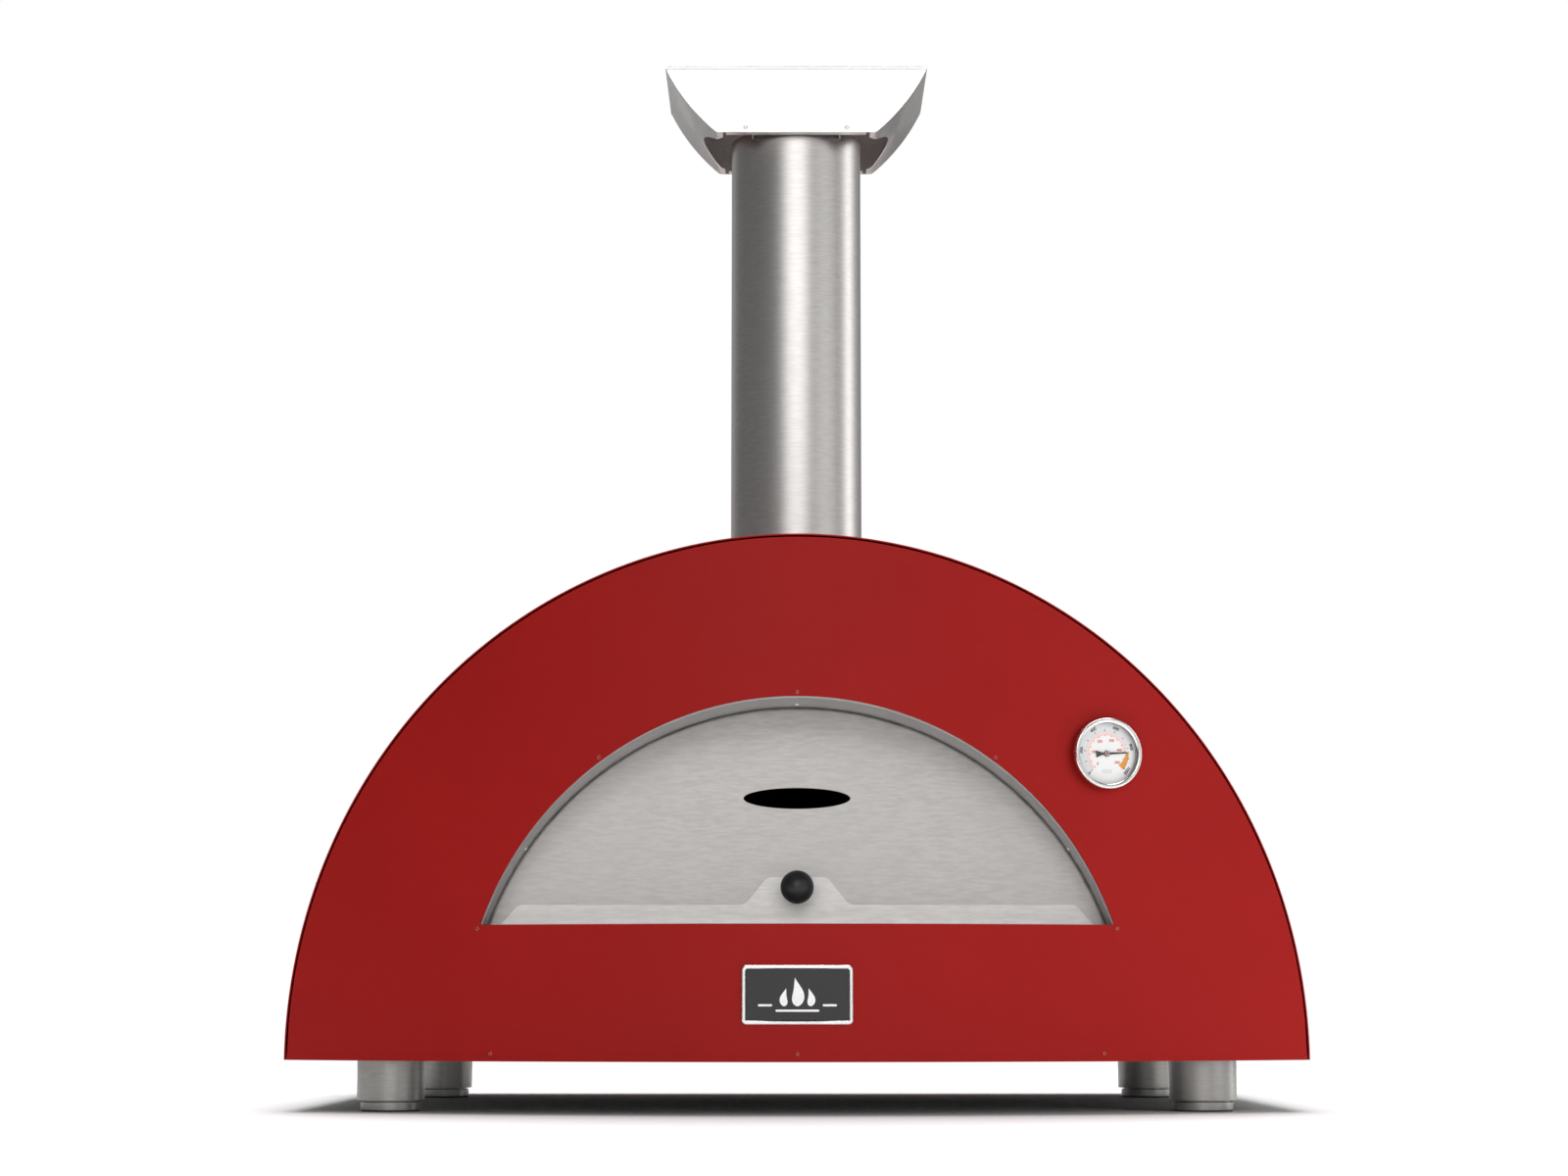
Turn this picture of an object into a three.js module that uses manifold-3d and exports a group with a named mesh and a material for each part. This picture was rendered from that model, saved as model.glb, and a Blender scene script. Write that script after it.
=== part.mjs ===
// A wood-fired pizza oven: an insulated steel vault on four short legs, with a bowed front panel,
// a lift-out door, a dial thermometer, and a straight flue under a boat-shaped wind cowl.
// Millimetres, +Z up, the front towards -Y. The origin is on the floor, at the centre of the
// object's box.

import * as THREE from 'three';
import { mergeVertices } from 'three/addons/utils/BufferGeometryUtils.js';
import Module from 'manifold-3d';

const wasm = await Module();
wasm.setup();

// Driving dimensions.
const shellRadius = 560; // outside of the arched shell, centred on its bottom edge
const bodyDepth = 834; // foremost line of the front panel to the back of the oven
const overallHeight = 1180;
const baseZ = 56; // floor to the bottom edge of the shell
const bowRadius = 1211; // the front panel is bowed in plan to this radius
const flueRadius = 75;
const flueSetback = 240; // foremost line of the panel to the flue's axis
const mouthRadius = 358.7;
const mouthCentreZ = 82.6;
const sillZ = 200.4; // level of the mouth's sill and of the cooking floor
const doorSetback = 110; // foremost line of the panel to the door's face
const chamberRadius = 436; // outside of the steel vault over the fire
const chamberDepth = 604;

// Thicknesses, and the clearance between pieces that touch.
const sheet = 1.5;
const heavySheet = 2;
const brickThickness = 30;
const gap = 0.3;
const shadowGap = 2; // between the shell and the panels inside its ends
const insulationGap = 8.5; // between the panels' radius and the insulation
const doorSeat = 8; // the door's face to the wall that it closes against
const trimProud = 3; // how far the nameplate stands in front of the panel
const past = 10; // how far a cutting shape runs past what it cuts

// Places worked out from the driving dimensions.
const rearY = (bodyDepth + trimProud) / 2;
const frontY = rearY - bodyDepth;
const panelRadius = shellRadius - sheet - shadowGap;
const bowCentreY = frontY + bowRadius;
const flueY = frontY + flueSetback;
const chamberFrontY = frontY + doorSetback + doorSeat;
const chamberRearY = chamberFrontY + heavySheet + gap + chamberDepth + gap;
const hearthZ = sillZ - brickThickness;
const shellTopZ = baseZ + shellRadius;
const chamberTopZ = baseZ + chamberRadius;
const blanketRadius = panelRadius - insulationGap;
const insulationFloorZ = baseZ + 2 * heavySheet + 0.5;

// Number of straight steps in the round shapes.
const archSteps = 44;
const mouthSteps = 30;
const bowSteps = 24;
const pipeSteps = 32;
const legSteps = 20;
const stemSteps = 20;
const smallSteps = 10;

// Finishes.
const redPaint = { color: 0x9c2422, roughness: 0.5, metalness: 0.1 };
const brushedSteel = { color: 0xb9b6b2, roughness: 0.38, metalness: 0.9 };
const plainSteel = { color: 0x9a9896, roughness: 0.5, metalness: 0.8 };
const darkSteel = { color: 0x5a5a5a, roughness: 0.6, metalness: 0.7 };
const fibre = { color: 0xe6e2d6, roughness: 1, metalness: 0 };
const firebrick = { color: 0xc9b490, roughness: 0.95, metalness: 0 };
const blackPlastic = { color: 0x2e2e2e, roughness: 0.45, metalness: 0 };
const clearGlass = { color: 0xffffff, roughness: 0.05, metalness: 0, transparent: true, opacity: 0.25 };
const whiteEnamel = { color: 0xf0f0ee, roughness: 0.4, metalness: 0 };
const blackEnamel = { color: 0x282828, roughness: 0.5, metalness: 0 };

const oven = new THREE.Group();

function addPiece(name, shape, finish, parent = oven) {
  const geometry = shape.isBufferGeometry ? shape : geometryOf(shape);
  const piece = new THREE.Mesh(geometry, new THREE.MeshStandardMaterial(finish));
  piece.name = name;
  parent.add(piece);
  return piece;
}

// Joining and cutting.

function solidOf(geometry) {
  const bare = geometry.clone();
  bare.deleteAttribute('normal');
  bare.deleteAttribute('uv');
  const merged = mergeVertices(bare, 1e-4);
  const corners = merged.index.array;
  const kept = [];
  for (let i = 0; i < corners.length; i += 3) {
    const [a, b, c] = [corners[i], corners[i + 1], corners[i + 2]];
    if (a !== b && b !== c && c !== a) kept.push(a, b, c);
  }
  return new wasm.Manifold(new wasm.Mesh({
    numProp: 3,
    vertProperties: new Float32Array(merged.attributes.position.array),
    triVerts: new Uint32Array(kept),
  }));
}

function geometryOf(solid) {
  const mesh = solid.getMesh();
  const geometry = new THREE.BufferGeometry();
  geometry.setAttribute('position', new THREE.BufferAttribute(new Float32Array(mesh.vertProperties), 3));
  geometry.setIndex(new THREE.BufferAttribute(new Uint32Array(mesh.triVerts), 1));
  return geometry;
}

// Outlines. Those of the arched pieces are drawn in the XZ plane.

function archOutline(radius, centreZ, floorZ) {
  const start = Math.asin((floorZ - centreZ) / radius);
  const outline = new THREE.Shape();
  outline.absarc(0, centreZ, radius, start, Math.PI - start, false);
  return outline;
}

function archBandOutline(outer, inner, centreZ, floorZ) {
  const outline = archOutline(outer, centreZ, floorZ);
  const start = Math.asin((floorZ - centreZ) / inner);
  outline.absarc(0, centreZ, inner, Math.PI - start, start, true);
  return outline;
}

function polygon(points) {
  return new THREE.Shape(points.map(([x, y]) => new THREE.Vector2(x, y)));
}

function roundedRectangle(width, height, corner) {
  const [w, h] = [width / 2, height / 2];
  const outline = new THREE.Shape();
  outline.absarc(w - corner, h - corner, corner, 0, Math.PI / 2, false);
  outline.absarc(corner - w, h - corner, corner, Math.PI / 2, Math.PI, false);
  outline.absarc(corner - w, corner - h, corner, Math.PI, Math.PI * 1.5, false);
  outline.absarc(w - corner, corner - h, corner, Math.PI * 1.5, Math.PI * 2, false);
  return outline;
}

// Solids from outlines.

function extrudeY(outline, fromY, toY, steps = archSteps) {
  const geometry = new THREE.ExtrudeGeometry(outline, {
    depth: toY - fromY,
    bevelEnabled: false,
    curveSegments: steps / 2,
  });
  geometry.rotateX(Math.PI / 2);
  geometry.translate(0, toY, 0);
  return solidOf(geometry);
}

function extrudeZ(outline, fromZ, toZ, steps = bowSteps) {
  const geometry = new THREE.ExtrudeGeometry(outline, {
    depth: toZ - fromZ,
    bevelEnabled: false,
    curveSegments: steps / 2,
  });
  geometry.translate(0, 0, fromZ);
  return solidOf(geometry);
}

function box([x0, y0, z0], [x1, y1, z1]) {
  const geometry = new THREE.BoxGeometry(x1 - x0, y1 - y0, z1 - z0);
  geometry.translate((x0 + x1) / 2, (y0 + y1) / 2, (z0 + z1) / 2);
  return solidOf(geometry);
}

// A turned piece about the Z axis, from a profile of [radius, height] points.
function turned(profile, steps = smallSteps) {
  const geometry = new THREE.LatheGeometry(profile.map(([r, z]) => new THREE.Vector2(r, z)), steps);
  geometry.rotateX(Math.PI / 2);
  return solidOf(geometry);
}

function rod(radius, fromZ, toZ, steps = smallSteps) {
  return turned([[0, fromZ], [radius, fromZ], [radius, toZ], [0, toZ]], steps);
}

function ring(outer, inner, fromZ, toZ, steps = pipeSteps) {
  return turned([[inner, fromZ], [outer, fromZ], [outer, toZ], [inner, toZ], [inner, fromZ]], steps);
}

// Turns a solid made along +Z to point along a direction, and moves its base to a point.
function aim(solid, direction, point) {
  const turn = new THREE.Quaternion().setFromUnitVectors(
    new THREE.Vector3(0, 0, 1),
    new THREE.Vector3(...direction).normalize(),
  );
  const place = new THREE.Matrix4().compose(new THREE.Vector3(...point), turn, new THREE.Vector3(1, 1, 1));
  return solid.transform(place.elements);
}

// The bowed front. An offset is measured inwards from the panel's outer face.

const bowHalfAngle = Math.asin((shellRadius + 2 * past) / bowRadius);
const bowStart = -Math.PI / 2 - bowHalfAngle;
const bowEnd = -Math.PI / 2 + bowHalfAngle;

function bowY(x, offset = 0) {
  return bowCentreY - Math.sqrt((bowRadius - offset) ** 2 - x ** 2);
}

function bowSlab(offset, thickness) {
  const outline = new THREE.Shape();
  outline.absarc(0, bowCentreY, bowRadius - offset, bowStart, bowEnd, false);
  outline.absarc(0, bowCentreY, bowRadius - offset - thickness, bowEnd, bowStart, true);
  return extrudeZ(outline, 0, shellTopZ + past);
}

function behindBow(
  offset,
  backY = rearY,
  fromZ = 0,
  toZ = shellTopZ + past,
  halfWidth = shellRadius + past,
) {
  const radius = bowRadius - offset;
  const endX = radius * Math.sin(bowHalfAngle);
  const outline = new THREE.Shape();
  outline.absarc(0, bowCentreY, radius, bowStart, bowEnd, false);
  outline.lineTo(endX, rearY + past);
  outline.lineTo(-endX, rearY + past);
  const limits = box([-halfWidth, frontY - past, fromZ - 1], [halfWidth, backY, toZ + 1]);
  return extrudeZ(outline, fromZ, toZ).intersect(limits);
}

// Outward normal of the bowed face at x.
function bowNormal(x) {
  return [x / bowRadius, -Math.sqrt(1 - (x / bowRadius) ** 2), 0];
}

// Screws. The head is a low button; the shank goes through a clear hole.

const shankRadius = 1.5;
const holeRadius = shankRadius + gap;
const headRadius = 3;
const headHeight = 1.4;
const shortScrew = 5.2;
const longScrew = 6;

function screw(length) {
  return turned([
    [0, -length],
    [shankRadius, -length],
    [shankRadius, gap],
    [headRadius, gap],
    [headRadius, gap + headHeight / 2],
    [headRadius * 0.6, gap + headHeight],
    [0, gap + headHeight],
  ]);
}

function screwHole(direction, point) {
  return aim(rod(holeRadius, -2 * past, 2 * past), direction, point);
}

// Thermometer place: on the bowed face, to the right of the mouth.

const gaugeX = 331.1;
const gaugeZ = 383;
const gaugeTurn = Math.asin(gaugeX / bowRadius);
const gaugePoint = [gaugeX, bowY(gaugeX), gaugeZ];
const probeLength = 260;
const probeRadius = 3.2;
const bossRadius = 7;

function gaugeBore(radius, fromDepth, toDepth) {
  return aim(rod(radius, -toDepth, -fromDepth, stemSteps), bowNormal(gaugeX), gaugePoint);
}

// Outer casing.

const rimDepth = 20;
const trayWall = 25;
const trayInset = 3.5; // from the panels' outline to the tray's side walls
const shellHoleSlack = 0.5;
const panelScrewX = 326;
const panelScrewZ = 64.4;
const panelScrewXs = [-panelScrewX, 0, panelScrewX];

function panelScrewHoles() {
  const holes = panelScrewXs.map((x) => screwHole(bowNormal(x), [x, bowY(x), panelScrewZ]));
  return holes[0].add(holes[1]).add(holes[2]);
}

function rimmedPanel() {
  const whole = extrudeY(archOutline(panelRadius, baseZ, baseZ), frontY - past, rearY + past);
  const innerOutline = archOutline(panelRadius - sheet, baseZ, baseZ + sheet);
  const inside = extrudeY(innerOutline, frontY - 2 * past, rearY + 2 * past);
  return { whole, rim: whole.subtract(inside) };
}

function frontPanel() {
  const { whole, rim } = rimmedPanel();
  const mouth = extrudeY(archOutline(mouthRadius, mouthCentreZ, sillZ), frontY - past, rearY, mouthSteps);
  return whole.intersect(bowSlab(0, sheet))
    .add(rim.intersect(bowSlab(0, rimDepth)))
    .subtract(mouth)
    .subtract(gaugeBore(bossRadius + gap, -past, past))
    .subtract(panelScrewHoles());
}

function rearPanel() {
  const { whole, rim } = rimmedPanel();
  const widest = shellRadius + past;
  const face = box([-widest, rearY - sheet, 0], [widest, rearY, shellTopZ]);
  const rimZone = box([-widest, rearY - rimDepth, 0], [widest, rearY, shellTopZ]);
  return whole.intersect(face).add(rim.intersect(rimZone));
}

function outerShell() {
  const band = archBandOutline(shellRadius, shellRadius - sheet, baseZ, baseZ);
  return extrudeY(band, frontY - past, rearY)
    .intersect(behindBow(0))
    .subtract(flueCore(flueRadius + shellHoleSlack, shellTopZ - 6 * past, shellTopZ + 2 * past));
}

function baseTray() {
  const floorZ = baseZ + heavySheet;
  const wallTopZ = floorZ + trayWall;
  const halfWidth = panelRadius - trayInset;
  const backY = rearY - sheet - gap - gap;
  const hollow = behindBow(
    sheet + gap + heavySheet,
    backY - heavySheet,
    floorZ + heavySheet,
    wallTopZ + past,
    halfWidth - heavySheet,
  );
  return behindBow(sheet + gap, backY, floorZ, wallTopZ, halfWidth)
    .subtract(hollow)
    .subtract(panelScrewHoles());
}

// Legs: a brushed tube closed at the top, and a foot plugged into it.

const legRadius = 37;
const legX = 446;
const frontLegY = frontY + 165;
const rearLegY = frontY + 682;
const legPlaces = {
  front_left: [-legX, frontLegY],
  front_right: [legX, frontLegY],
  rear_left: [-legX, rearLegY],
  rear_right: [legX, rearLegY],
};
const footHeight = 10.5;
const shadowGroove = 1.5;

function legTube() {
  const topZ = baseZ + heavySheet - gap;
  const bottomZ = footHeight + shadowGroove;
  return turned([
    [0, topZ - heavySheet],
    [legRadius - heavySheet, topZ - heavySheet],
    [legRadius - heavySheet, bottomZ],
    [legRadius, bottomZ],
    [legRadius, topZ],
    [0, topZ],
  ], legSteps);
}

function legFoot() {
  const footRadius = 33;
  const padStep = 1; // the pad under the foot is a little smaller
  const padHeight = 1.5;
  const neckRadius = footRadius - 3;
  const plugRadius = legRadius - heavySheet - gap;
  const plugFromZ = footHeight + shadowGroove + 2;
  const plugToZ = plugFromZ + 18;
  return turned([
    [0, 0],
    [footRadius - padStep, 0],
    [footRadius - padStep, padHeight],
    [footRadius, padHeight],
    [footRadius, footHeight],
    [neckRadius, footHeight],
    [neckRadius, plugFromZ],
    [plugRadius, plugFromZ],
    [plugRadius, plugToZ],
    [0, plugToZ],
  ], legSteps);
}

// The vault over the fire, its end walls and its floor.

const doorStopWidth = 18; // how far the front wall stands into the mouth behind the door
const collarInner = mouthRadius + 0.2;
const collarSetback = 60; // foremost line of the panel to the collar
const wallFlange = 10; // of the front wall beyond the vault
const hearthInset = 14; // from the vault's radius to the hearth's sides
const probeHole = probeRadius + 2;
const revealScrewTurns = [90 - 55.7, 90, 90 + 55.7];

function revealScrewPlace(turn) {
  const angle = THREE.MathUtils.degToRad(turn);
  const x = Math.cos(angle) * (mouthRadius - sheet - 2 * gap);
  const z = mouthCentreZ + Math.sin(angle) * (mouthRadius - sheet - 2 * gap);
  const y = (bowY(x) + chamberFrontY) / 2 + 12; // a little behind the middle of the reveal
  return { inward: [-Math.cos(angle), 0, -Math.sin(angle)], point: [x, y, z] };
}

function revealScrewHoles() {
  const holes = revealScrewTurns.map((turn) => {
    const { inward, point } = revealScrewPlace(turn);
    return screwHole(inward, point);
  });
  return holes[0].add(holes[1]).add(holes[2]);
}

function chamberDome() {
  const band = archBandOutline(chamberRadius, chamberRadius - heavySheet, baseZ, hearthZ);
  const startY = chamberFrontY + heavySheet + gap;
  return extrudeY(band, startY, startY + chamberDepth)
    .subtract(flueCore(flueRadius - sheet, chamberTopZ - 4 * past, chamberTopZ + 4 * past))
    .subtract(gaugeBore(probeHole, 0, probeLength + 4 * past));
}

function chamberFront() {
  const backY = chamberFrontY + heavySheet;
  const wall = extrudeY(
    archOutline(chamberRadius + wallFlange, baseZ, baseZ + 5),
    chamberFrontY,
    backY,
  );
  const opening = archOutline(mouthRadius - doorStopWidth, mouthCentreZ, sillZ);
  const collar = archBandOutline(collarInner + sheet, collarInner, mouthCentreZ, sillZ + gap);
  return wall
    .subtract(extrudeY(opening, chamberFrontY - 1, backY + 1, mouthSteps))
    .add(extrudeY(collar, frontY + collarSetback, chamberFrontY + 1, mouthSteps))
    .subtract(revealScrewHoles());
}

function chamberRear() {
  const outline = archOutline(chamberRadius, baseZ, hearthZ);
  return extrudeY(outline, chamberRearY, chamberRearY + heavySheet);
}

function hearthTray() {
  const halfWidth = chamberRadius - hearthInset;
  const lip = 15;
  const topZ = hearthZ - gap;
  const startY = chamberFrontY + heavySheet + gap;
  const endY = chamberRearY + heavySheet;
  const hollow = box(
    [heavySheet - halfWidth, startY - 1, topZ - lip - 1],
    [halfWidth - heavySheet, endY + 1, topZ - heavySheet],
  );
  return box([-halfWidth, startY, topZ - lip], [halfWidth, endY, topZ]).subtract(hollow);
}

function floorInsulation() {
  const halfWidth = chamberRadius - hearthInset - heavySheet - gap;
  const topZ = hearthZ - gap - heavySheet - gap;
  return box(
    [-halfWidth, chamberFrontY + heavySheet + gap, baseZ + 2 * heavySheet + gap],
    [halfWidth, chamberRearY + heavySheet, topZ],
  );
}

const tileLength = 399;
const tileWidth = 300;
const tileJoint = 1;

function floorTile(column, row) {
  const x = column * (tileLength + tileJoint);
  const y = chamberFrontY + heavySheet + 2 * gap + 1 + row * (tileWidth + tileJoint);
  return box([x + tileJoint / 2, y, hearthZ], [x + tileJoint / 2 + tileLength, y + tileWidth, sillZ]);
}

// Insulation.

const panelInset = 6; // front panel's outer face to the insulation behind it
const fitGap = 2.5; // between the insulation and the hot steel that it wraps
const nutPocketRadius = 16;
const nutPocketDepth = 22;

function domeBlanket() {
  const band = archBandOutline(blanketRadius, chamberRadius + fitGap, baseZ, insulationFloorZ);
  return extrudeY(band, chamberFrontY + heavySheet + gap, chamberRearY + heavySheet)
    .intersect(behindBow(panelInset))
    .subtract(flueCore(flueRadius + 1, chamberTopZ - 4 * past, shellTopZ))
    .subtract(gaugeBore(probeHole, 0, probeLength));
}

function frontInsulation() {
  const outline = archOutline(blanketRadius, baseZ, insulationFloorZ);
  const throat = archOutline(collarInner + sheet + fitGap, mouthCentreZ, sillZ - sheet - gap);
  return extrudeY(outline, frontY, chamberFrontY - gap)
    .intersect(behindBow(panelInset))
    .subtract(extrudeY(throat, frontY - past, chamberFrontY + past, mouthSteps))
    .subtract(gaugeBore(nutPocketRadius, 0, nutPocketDepth))
    .subtract(gaugeBore(probeHole, 0, probeLength));
}

function rearInsulation() {
  const outline = archOutline(blanketRadius, baseZ, insulationFloorZ);
  return extrudeY(outline, chamberRearY + heavySheet + gap, rearY - sheet - 2 * heavySheet - gap);
}

// Mouth: the sill plate and the steel reveal that lines the arch.

function mouthSill() {
  const halfWidth = 341;
  const foldDepth = 25;
  const offset = sheet + gap;
  const plate = behindBow(offset, chamberFrontY - gap, sillZ - sheet, sillZ, halfWidth);
  const fold = bowSlab(offset, sheet).intersect(
    box([-halfWidth, frontY, sillZ - foldDepth], [halfWidth, rearY, sillZ]),
  );
  return plate.add(fold);
}

function mouthReveal() {
  const outer = mouthRadius - gap;
  const inner = outer - sheet - gap;
  const flangeWidth = 18;
  const band = archBandOutline(outer, inner, mouthCentreZ, sillZ + gap);
  const flange = archBandOutline(outer + flangeWidth, inner, mouthCentreZ, sillZ + gap);
  const offset = sheet + gap;
  const lining = extrudeY(band, frontY, chamberFrontY - gap, mouthSteps)
    .intersect(behindBow(offset));
  return lining
    .add(extrudeY(flange, frontY, chamberFrontY, mouthSteps).intersect(bowSlab(offset, sheet)))
    .subtract(revealScrewHoles());
}

// Door: an arched sheet with a draught slot, a standing foot and a ball knob.

const doorY = frontY + doorSetback;
const doorRadius = mouthRadius - 4.7;
const doorBottomZ = sillZ + 0.8;
const knobZ = 241;
const knobBoltRadius = 4;
const hemDepth = 6;
const slot = { z: 339.5, halfWidth: 58.5, halfHeight: 11.5, steps: 24 };

function knobBore(radius) {
  return aim(rod(radius, -8 * past, 8 * past), [0, 1, 0], [0, doorY, knobZ]);
}

function doorPanel() {
  const outline = archOutline(doorRadius, mouthCentreZ, doorBottomZ);
  const draughtSlot = new THREE.Shape();
  draughtSlot.absellipse(0, slot.z, slot.halfWidth, slot.halfHeight, 0, Math.PI * 2, false);
  const hem = archBandOutline(doorRadius, doorRadius - sheet, mouthCentreZ, doorBottomZ);
  return extrudeY(outline, doorY, doorY + sheet, mouthSteps)
    .add(extrudeY(hem, doorY, doorY + hemDepth, mouthSteps))
    .subtract(extrudeY(draughtSlot, doorY - past, doorY + past, slot.steps))
    .subtract(knobBore(knobBoltRadius + gap));
}

// The folded foot: an upright with slanted ends, a tab behind the knob, and a tongue to stand on.
function doorFoot() {
  const bottomZ = sillZ + gap;
  const topZ = bottomZ + 23;
  const tabZ = topZ + 26;
  const halfWidth = 324;
  const endSlant = 20;
  const tabFootHalfWidth = 57;
  const tabHalfWidth = 34;
  const tabCorner = [6, 4];
  const tongueInset = 6;
  const tongueReach = 46;
  const right = [
    [halfWidth, bottomZ],
    [halfWidth - endSlant, topZ],
    [tabFootHalfWidth, topZ],
    [tabHalfWidth, tabZ],
    [tabHalfWidth - tabCorner[0], tabZ + tabCorner[1]],
  ];
  const left = right.map(([x, z]) => [-x, z]).reverse();
  const upright = extrudeY(polygon([...right, ...left]), doorY - gap - sheet, doorY - gap);
  const base = box(
    [tongueInset - halfWidth, doorY - gap - tongueReach, bottomZ],
    [halfWidth - tongueInset, doorY - gap, bottomZ + sheet],
  );
  return upright.add(base).subtract(knobBore(knobBoltRadius + gap));
}

const knobRadius = 18;
const knobCentre = 48; // in front of the door
const spacerFront = 33;
const spacerRadius = 7;
const boltReach = 5; // of the bolt past the ball's centre

// The ball, turned about the bolt's axis; the bolt's blind hole opens at the back.
function knobBall() {
  const boreRadius = knobBoltRadius + gap;
  const flat = Math.acos((knobCentre - spacerFront) / knobRadius);
  const profile = [
    [0, boltReach + gap],
    [boreRadius, boltReach + gap],
    [boreRadius, spacerFront - knobCentre],
  ];
  const steps = 8;
  for (let i = 0; i < steps; i += 1) {
    const angle = Math.PI - flat - (i / steps) * (Math.PI - flat);
    profile.push([knobRadius * Math.sin(angle), knobRadius * Math.cos(angle)]);
  }
  profile.push([0, knobRadius]);
  return aim(turned(profile, 20), [0, -1, 0], [0, doorY - knobCentre, knobZ]);
}

function knobSpacer() {
  const tube = ring(spacerRadius, knobBoltRadius + gap, sheet + 2 * gap, spacerFront - gap, smallSteps);
  return aim(tube, [0, -1, 0], [0, doorY, knobZ]);
}

function knobBolt() {
  const tip = knobCentre + boltReach;
  const headHeightBehind = 4;
  const bolt = turned([
    [0, -sheet - gap - headHeightBehind],
    [spacerRadius, -sheet - gap - headHeightBehind],
    [spacerRadius, -sheet - gap],
    [knobBoltRadius, -sheet - gap],
    [knobBoltRadius, tip],
    [0, tip],
  ]);
  return aim(bolt, [0, -1, 0], [0, doorY, knobZ]);
}

// Flue: a spigot welded in the vault, the outer pipe round it, and a trim collar on the shell.

const cowlHeight = 77.4;
const cowlBottomZ = overallHeight - cowlHeight;
const pipeTopZ = cowlBottomZ + 9.4;
const bracketX = 58; // cowl screws, to each side
const bracketTab = 8; // the bracket's turned-out ends reach this far on each side of the screw
const bracketBottomZ = cowlBottomZ + 1.5;
const bracketHeight = 14;
const webX = bracketX - bracketTab;
const spigotBelow = 30; // under the top of the vault
const spigotAbove = 70;
const pipeBelow = 20;

function flueCore(radius, fromZ, toZ) {
  return rod(radius, fromZ, toZ, pipeSteps).translate([0, flueY, 0]);
}

function flueRing(outer, inner, fromZ, toZ) {
  return ring(outer, inner, fromZ, toZ, pipeSteps).translate([0, flueY, 0]);
}

function underArch(radius) {
  return extrudeY(archOutline(radius, baseZ, baseZ), frontY, rearY);
}

function flueSpigot() {
  const outer = flueRadius - sheet - gap;
  return flueRing(outer, outer - sheet, chamberTopZ - spigotBelow, chamberTopZ + spigotAbove)
    .subtract(underArch(chamberRadius - heavySheet));
}

function fluePipe() {
  let pipe = flueRing(flueRadius, flueRadius - sheet, chamberTopZ - pipeBelow, pipeTopZ)
    .subtract(underArch(chamberRadius + gap));
  for (const side of [-1, 1]) {
    const x = side * webX;
    const notch = box(
      [x - sheet / 2 - gap, flueY - flueRadius - 1, bracketBottomZ - gap],
      [x + sheet / 2 + gap, flueY + flueRadius + 1, pipeTopZ + 1],
    );
    pipe = pipe.subtract(notch);
  }
  return pipe;
}

function flueCollar() {
  const saddleRadius = flueRadius + 22;
  const sleeveHeight = 16;
  const saddle = extrudeY(
    archBandOutline(shellRadius + gap + sheet, shellRadius + gap, baseZ, baseZ),
    flueY - saddleRadius - past,
    flueY + saddleRadius + past,
  ).intersect(flueCore(saddleRadius, shellTopZ - 3 * past, shellTopZ + 2 * past));
  const inner = flueRadius + gap;
  const sleeve = flueRing(inner + sheet, inner, shellTopZ - 2 * past, shellTopZ + sleeveHeight)
    .subtract(underArch(shellRadius + gap));
  return saddle
    .add(sleeve)
    .subtract(flueCore(inner, shellTopZ - 6 * past, shellTopZ + 4 * past));
}

// Cowl: a boat-shaped trough with flat ends, open round the flue and closed by a flat lid.

const cowlDepth = 180;
const cowlHalfWidth = 150;
const cowlBottomHalfWidth = 91;
const cowlBulge = 5.2; // how far the side bows out from a straight line
const cowlSheet = 1.2;
const cowlFrontY = flueY - cowlDepth / 2;
const cowlBackY = flueY + cowlDepth / 2;
const cowlLidZ = overallHeight - cowlSheet - gap;
const cowlScrewZ = cowlBottomZ + 5.6;
const cowlLip = 7; // turned-in edge at the bottom of each side
const endFoldHalfWidth = 80;
const endFoldDepth = 12;
const biteRadius = 108; // the opening round the flue

// Circle of the cowl's right side, through its top and bottom corners.
const cowlSide = (() => {
  const top = new THREE.Vector2(cowlHalfWidth, cowlLidZ);
  const bottom = new THREE.Vector2(cowlBottomHalfWidth, cowlBottomZ);
  const chord = top.distanceTo(bottom);
  const radius = (chord ** 2 / 4 + cowlBulge ** 2) / (2 * cowlBulge);
  const along = top.clone().sub(bottom).normalize();
  const middle = top.clone().add(bottom).multiplyScalar(0.5);
  const centre = new THREE.Vector2(-along.y, along.x).multiplyScalar(radius - cowlBulge).add(middle);
  const angleOf = (point) => Math.atan2(point.y - centre.y, point.x - centre.x);
  return { centre, radius, start: angleOf(bottom), end: angleOf(top) };
})();

function cowlOutline() {
  const { centre, radius, start, end } = cowlSide;
  const outline = new THREE.Shape();
  outline.absarc(centre.x, centre.y, radius, start, end, false);
  outline.absarc(-centre.x, centre.y, radius, Math.PI - end, Math.PI - start, false);
  return outline;
}

// Outline of one bent side sheet: the curved wall and a short turned-in edge at the bottom.
function cowlSideOutline() {
  const { centre, radius, start, end } = cowlSide;
  const inner = radius - cowlSheet;
  const innerStart = Math.asin((cowlBottomZ + cowlSheet - centre.y) / inner);
  const innerEnd = Math.asin((cowlLidZ - centre.y) / inner);
  const lipX = cowlBottomHalfWidth - cowlLip;
  const outline = new THREE.Shape();
  outline.moveTo(lipX, cowlBottomZ);
  outline.absarc(centre.x, centre.y, radius, start, end, false);
  outline.absarc(centre.x, centre.y, inner, innerEnd, innerStart, true);
  outline.lineTo(lipX, cowlBottomZ + cowlSheet);
  return outline;
}

function cowlScrewHoles() {
  const drill = rod(holeRadius, -2 * past, cowlDepth + 2 * past);
  const left = aim(drill, [0, 1, 0], [-bracketX, cowlFrontY, cowlScrewZ]);
  return left.add(left.translate([2 * bracketX, 0, 0]));
}

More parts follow.
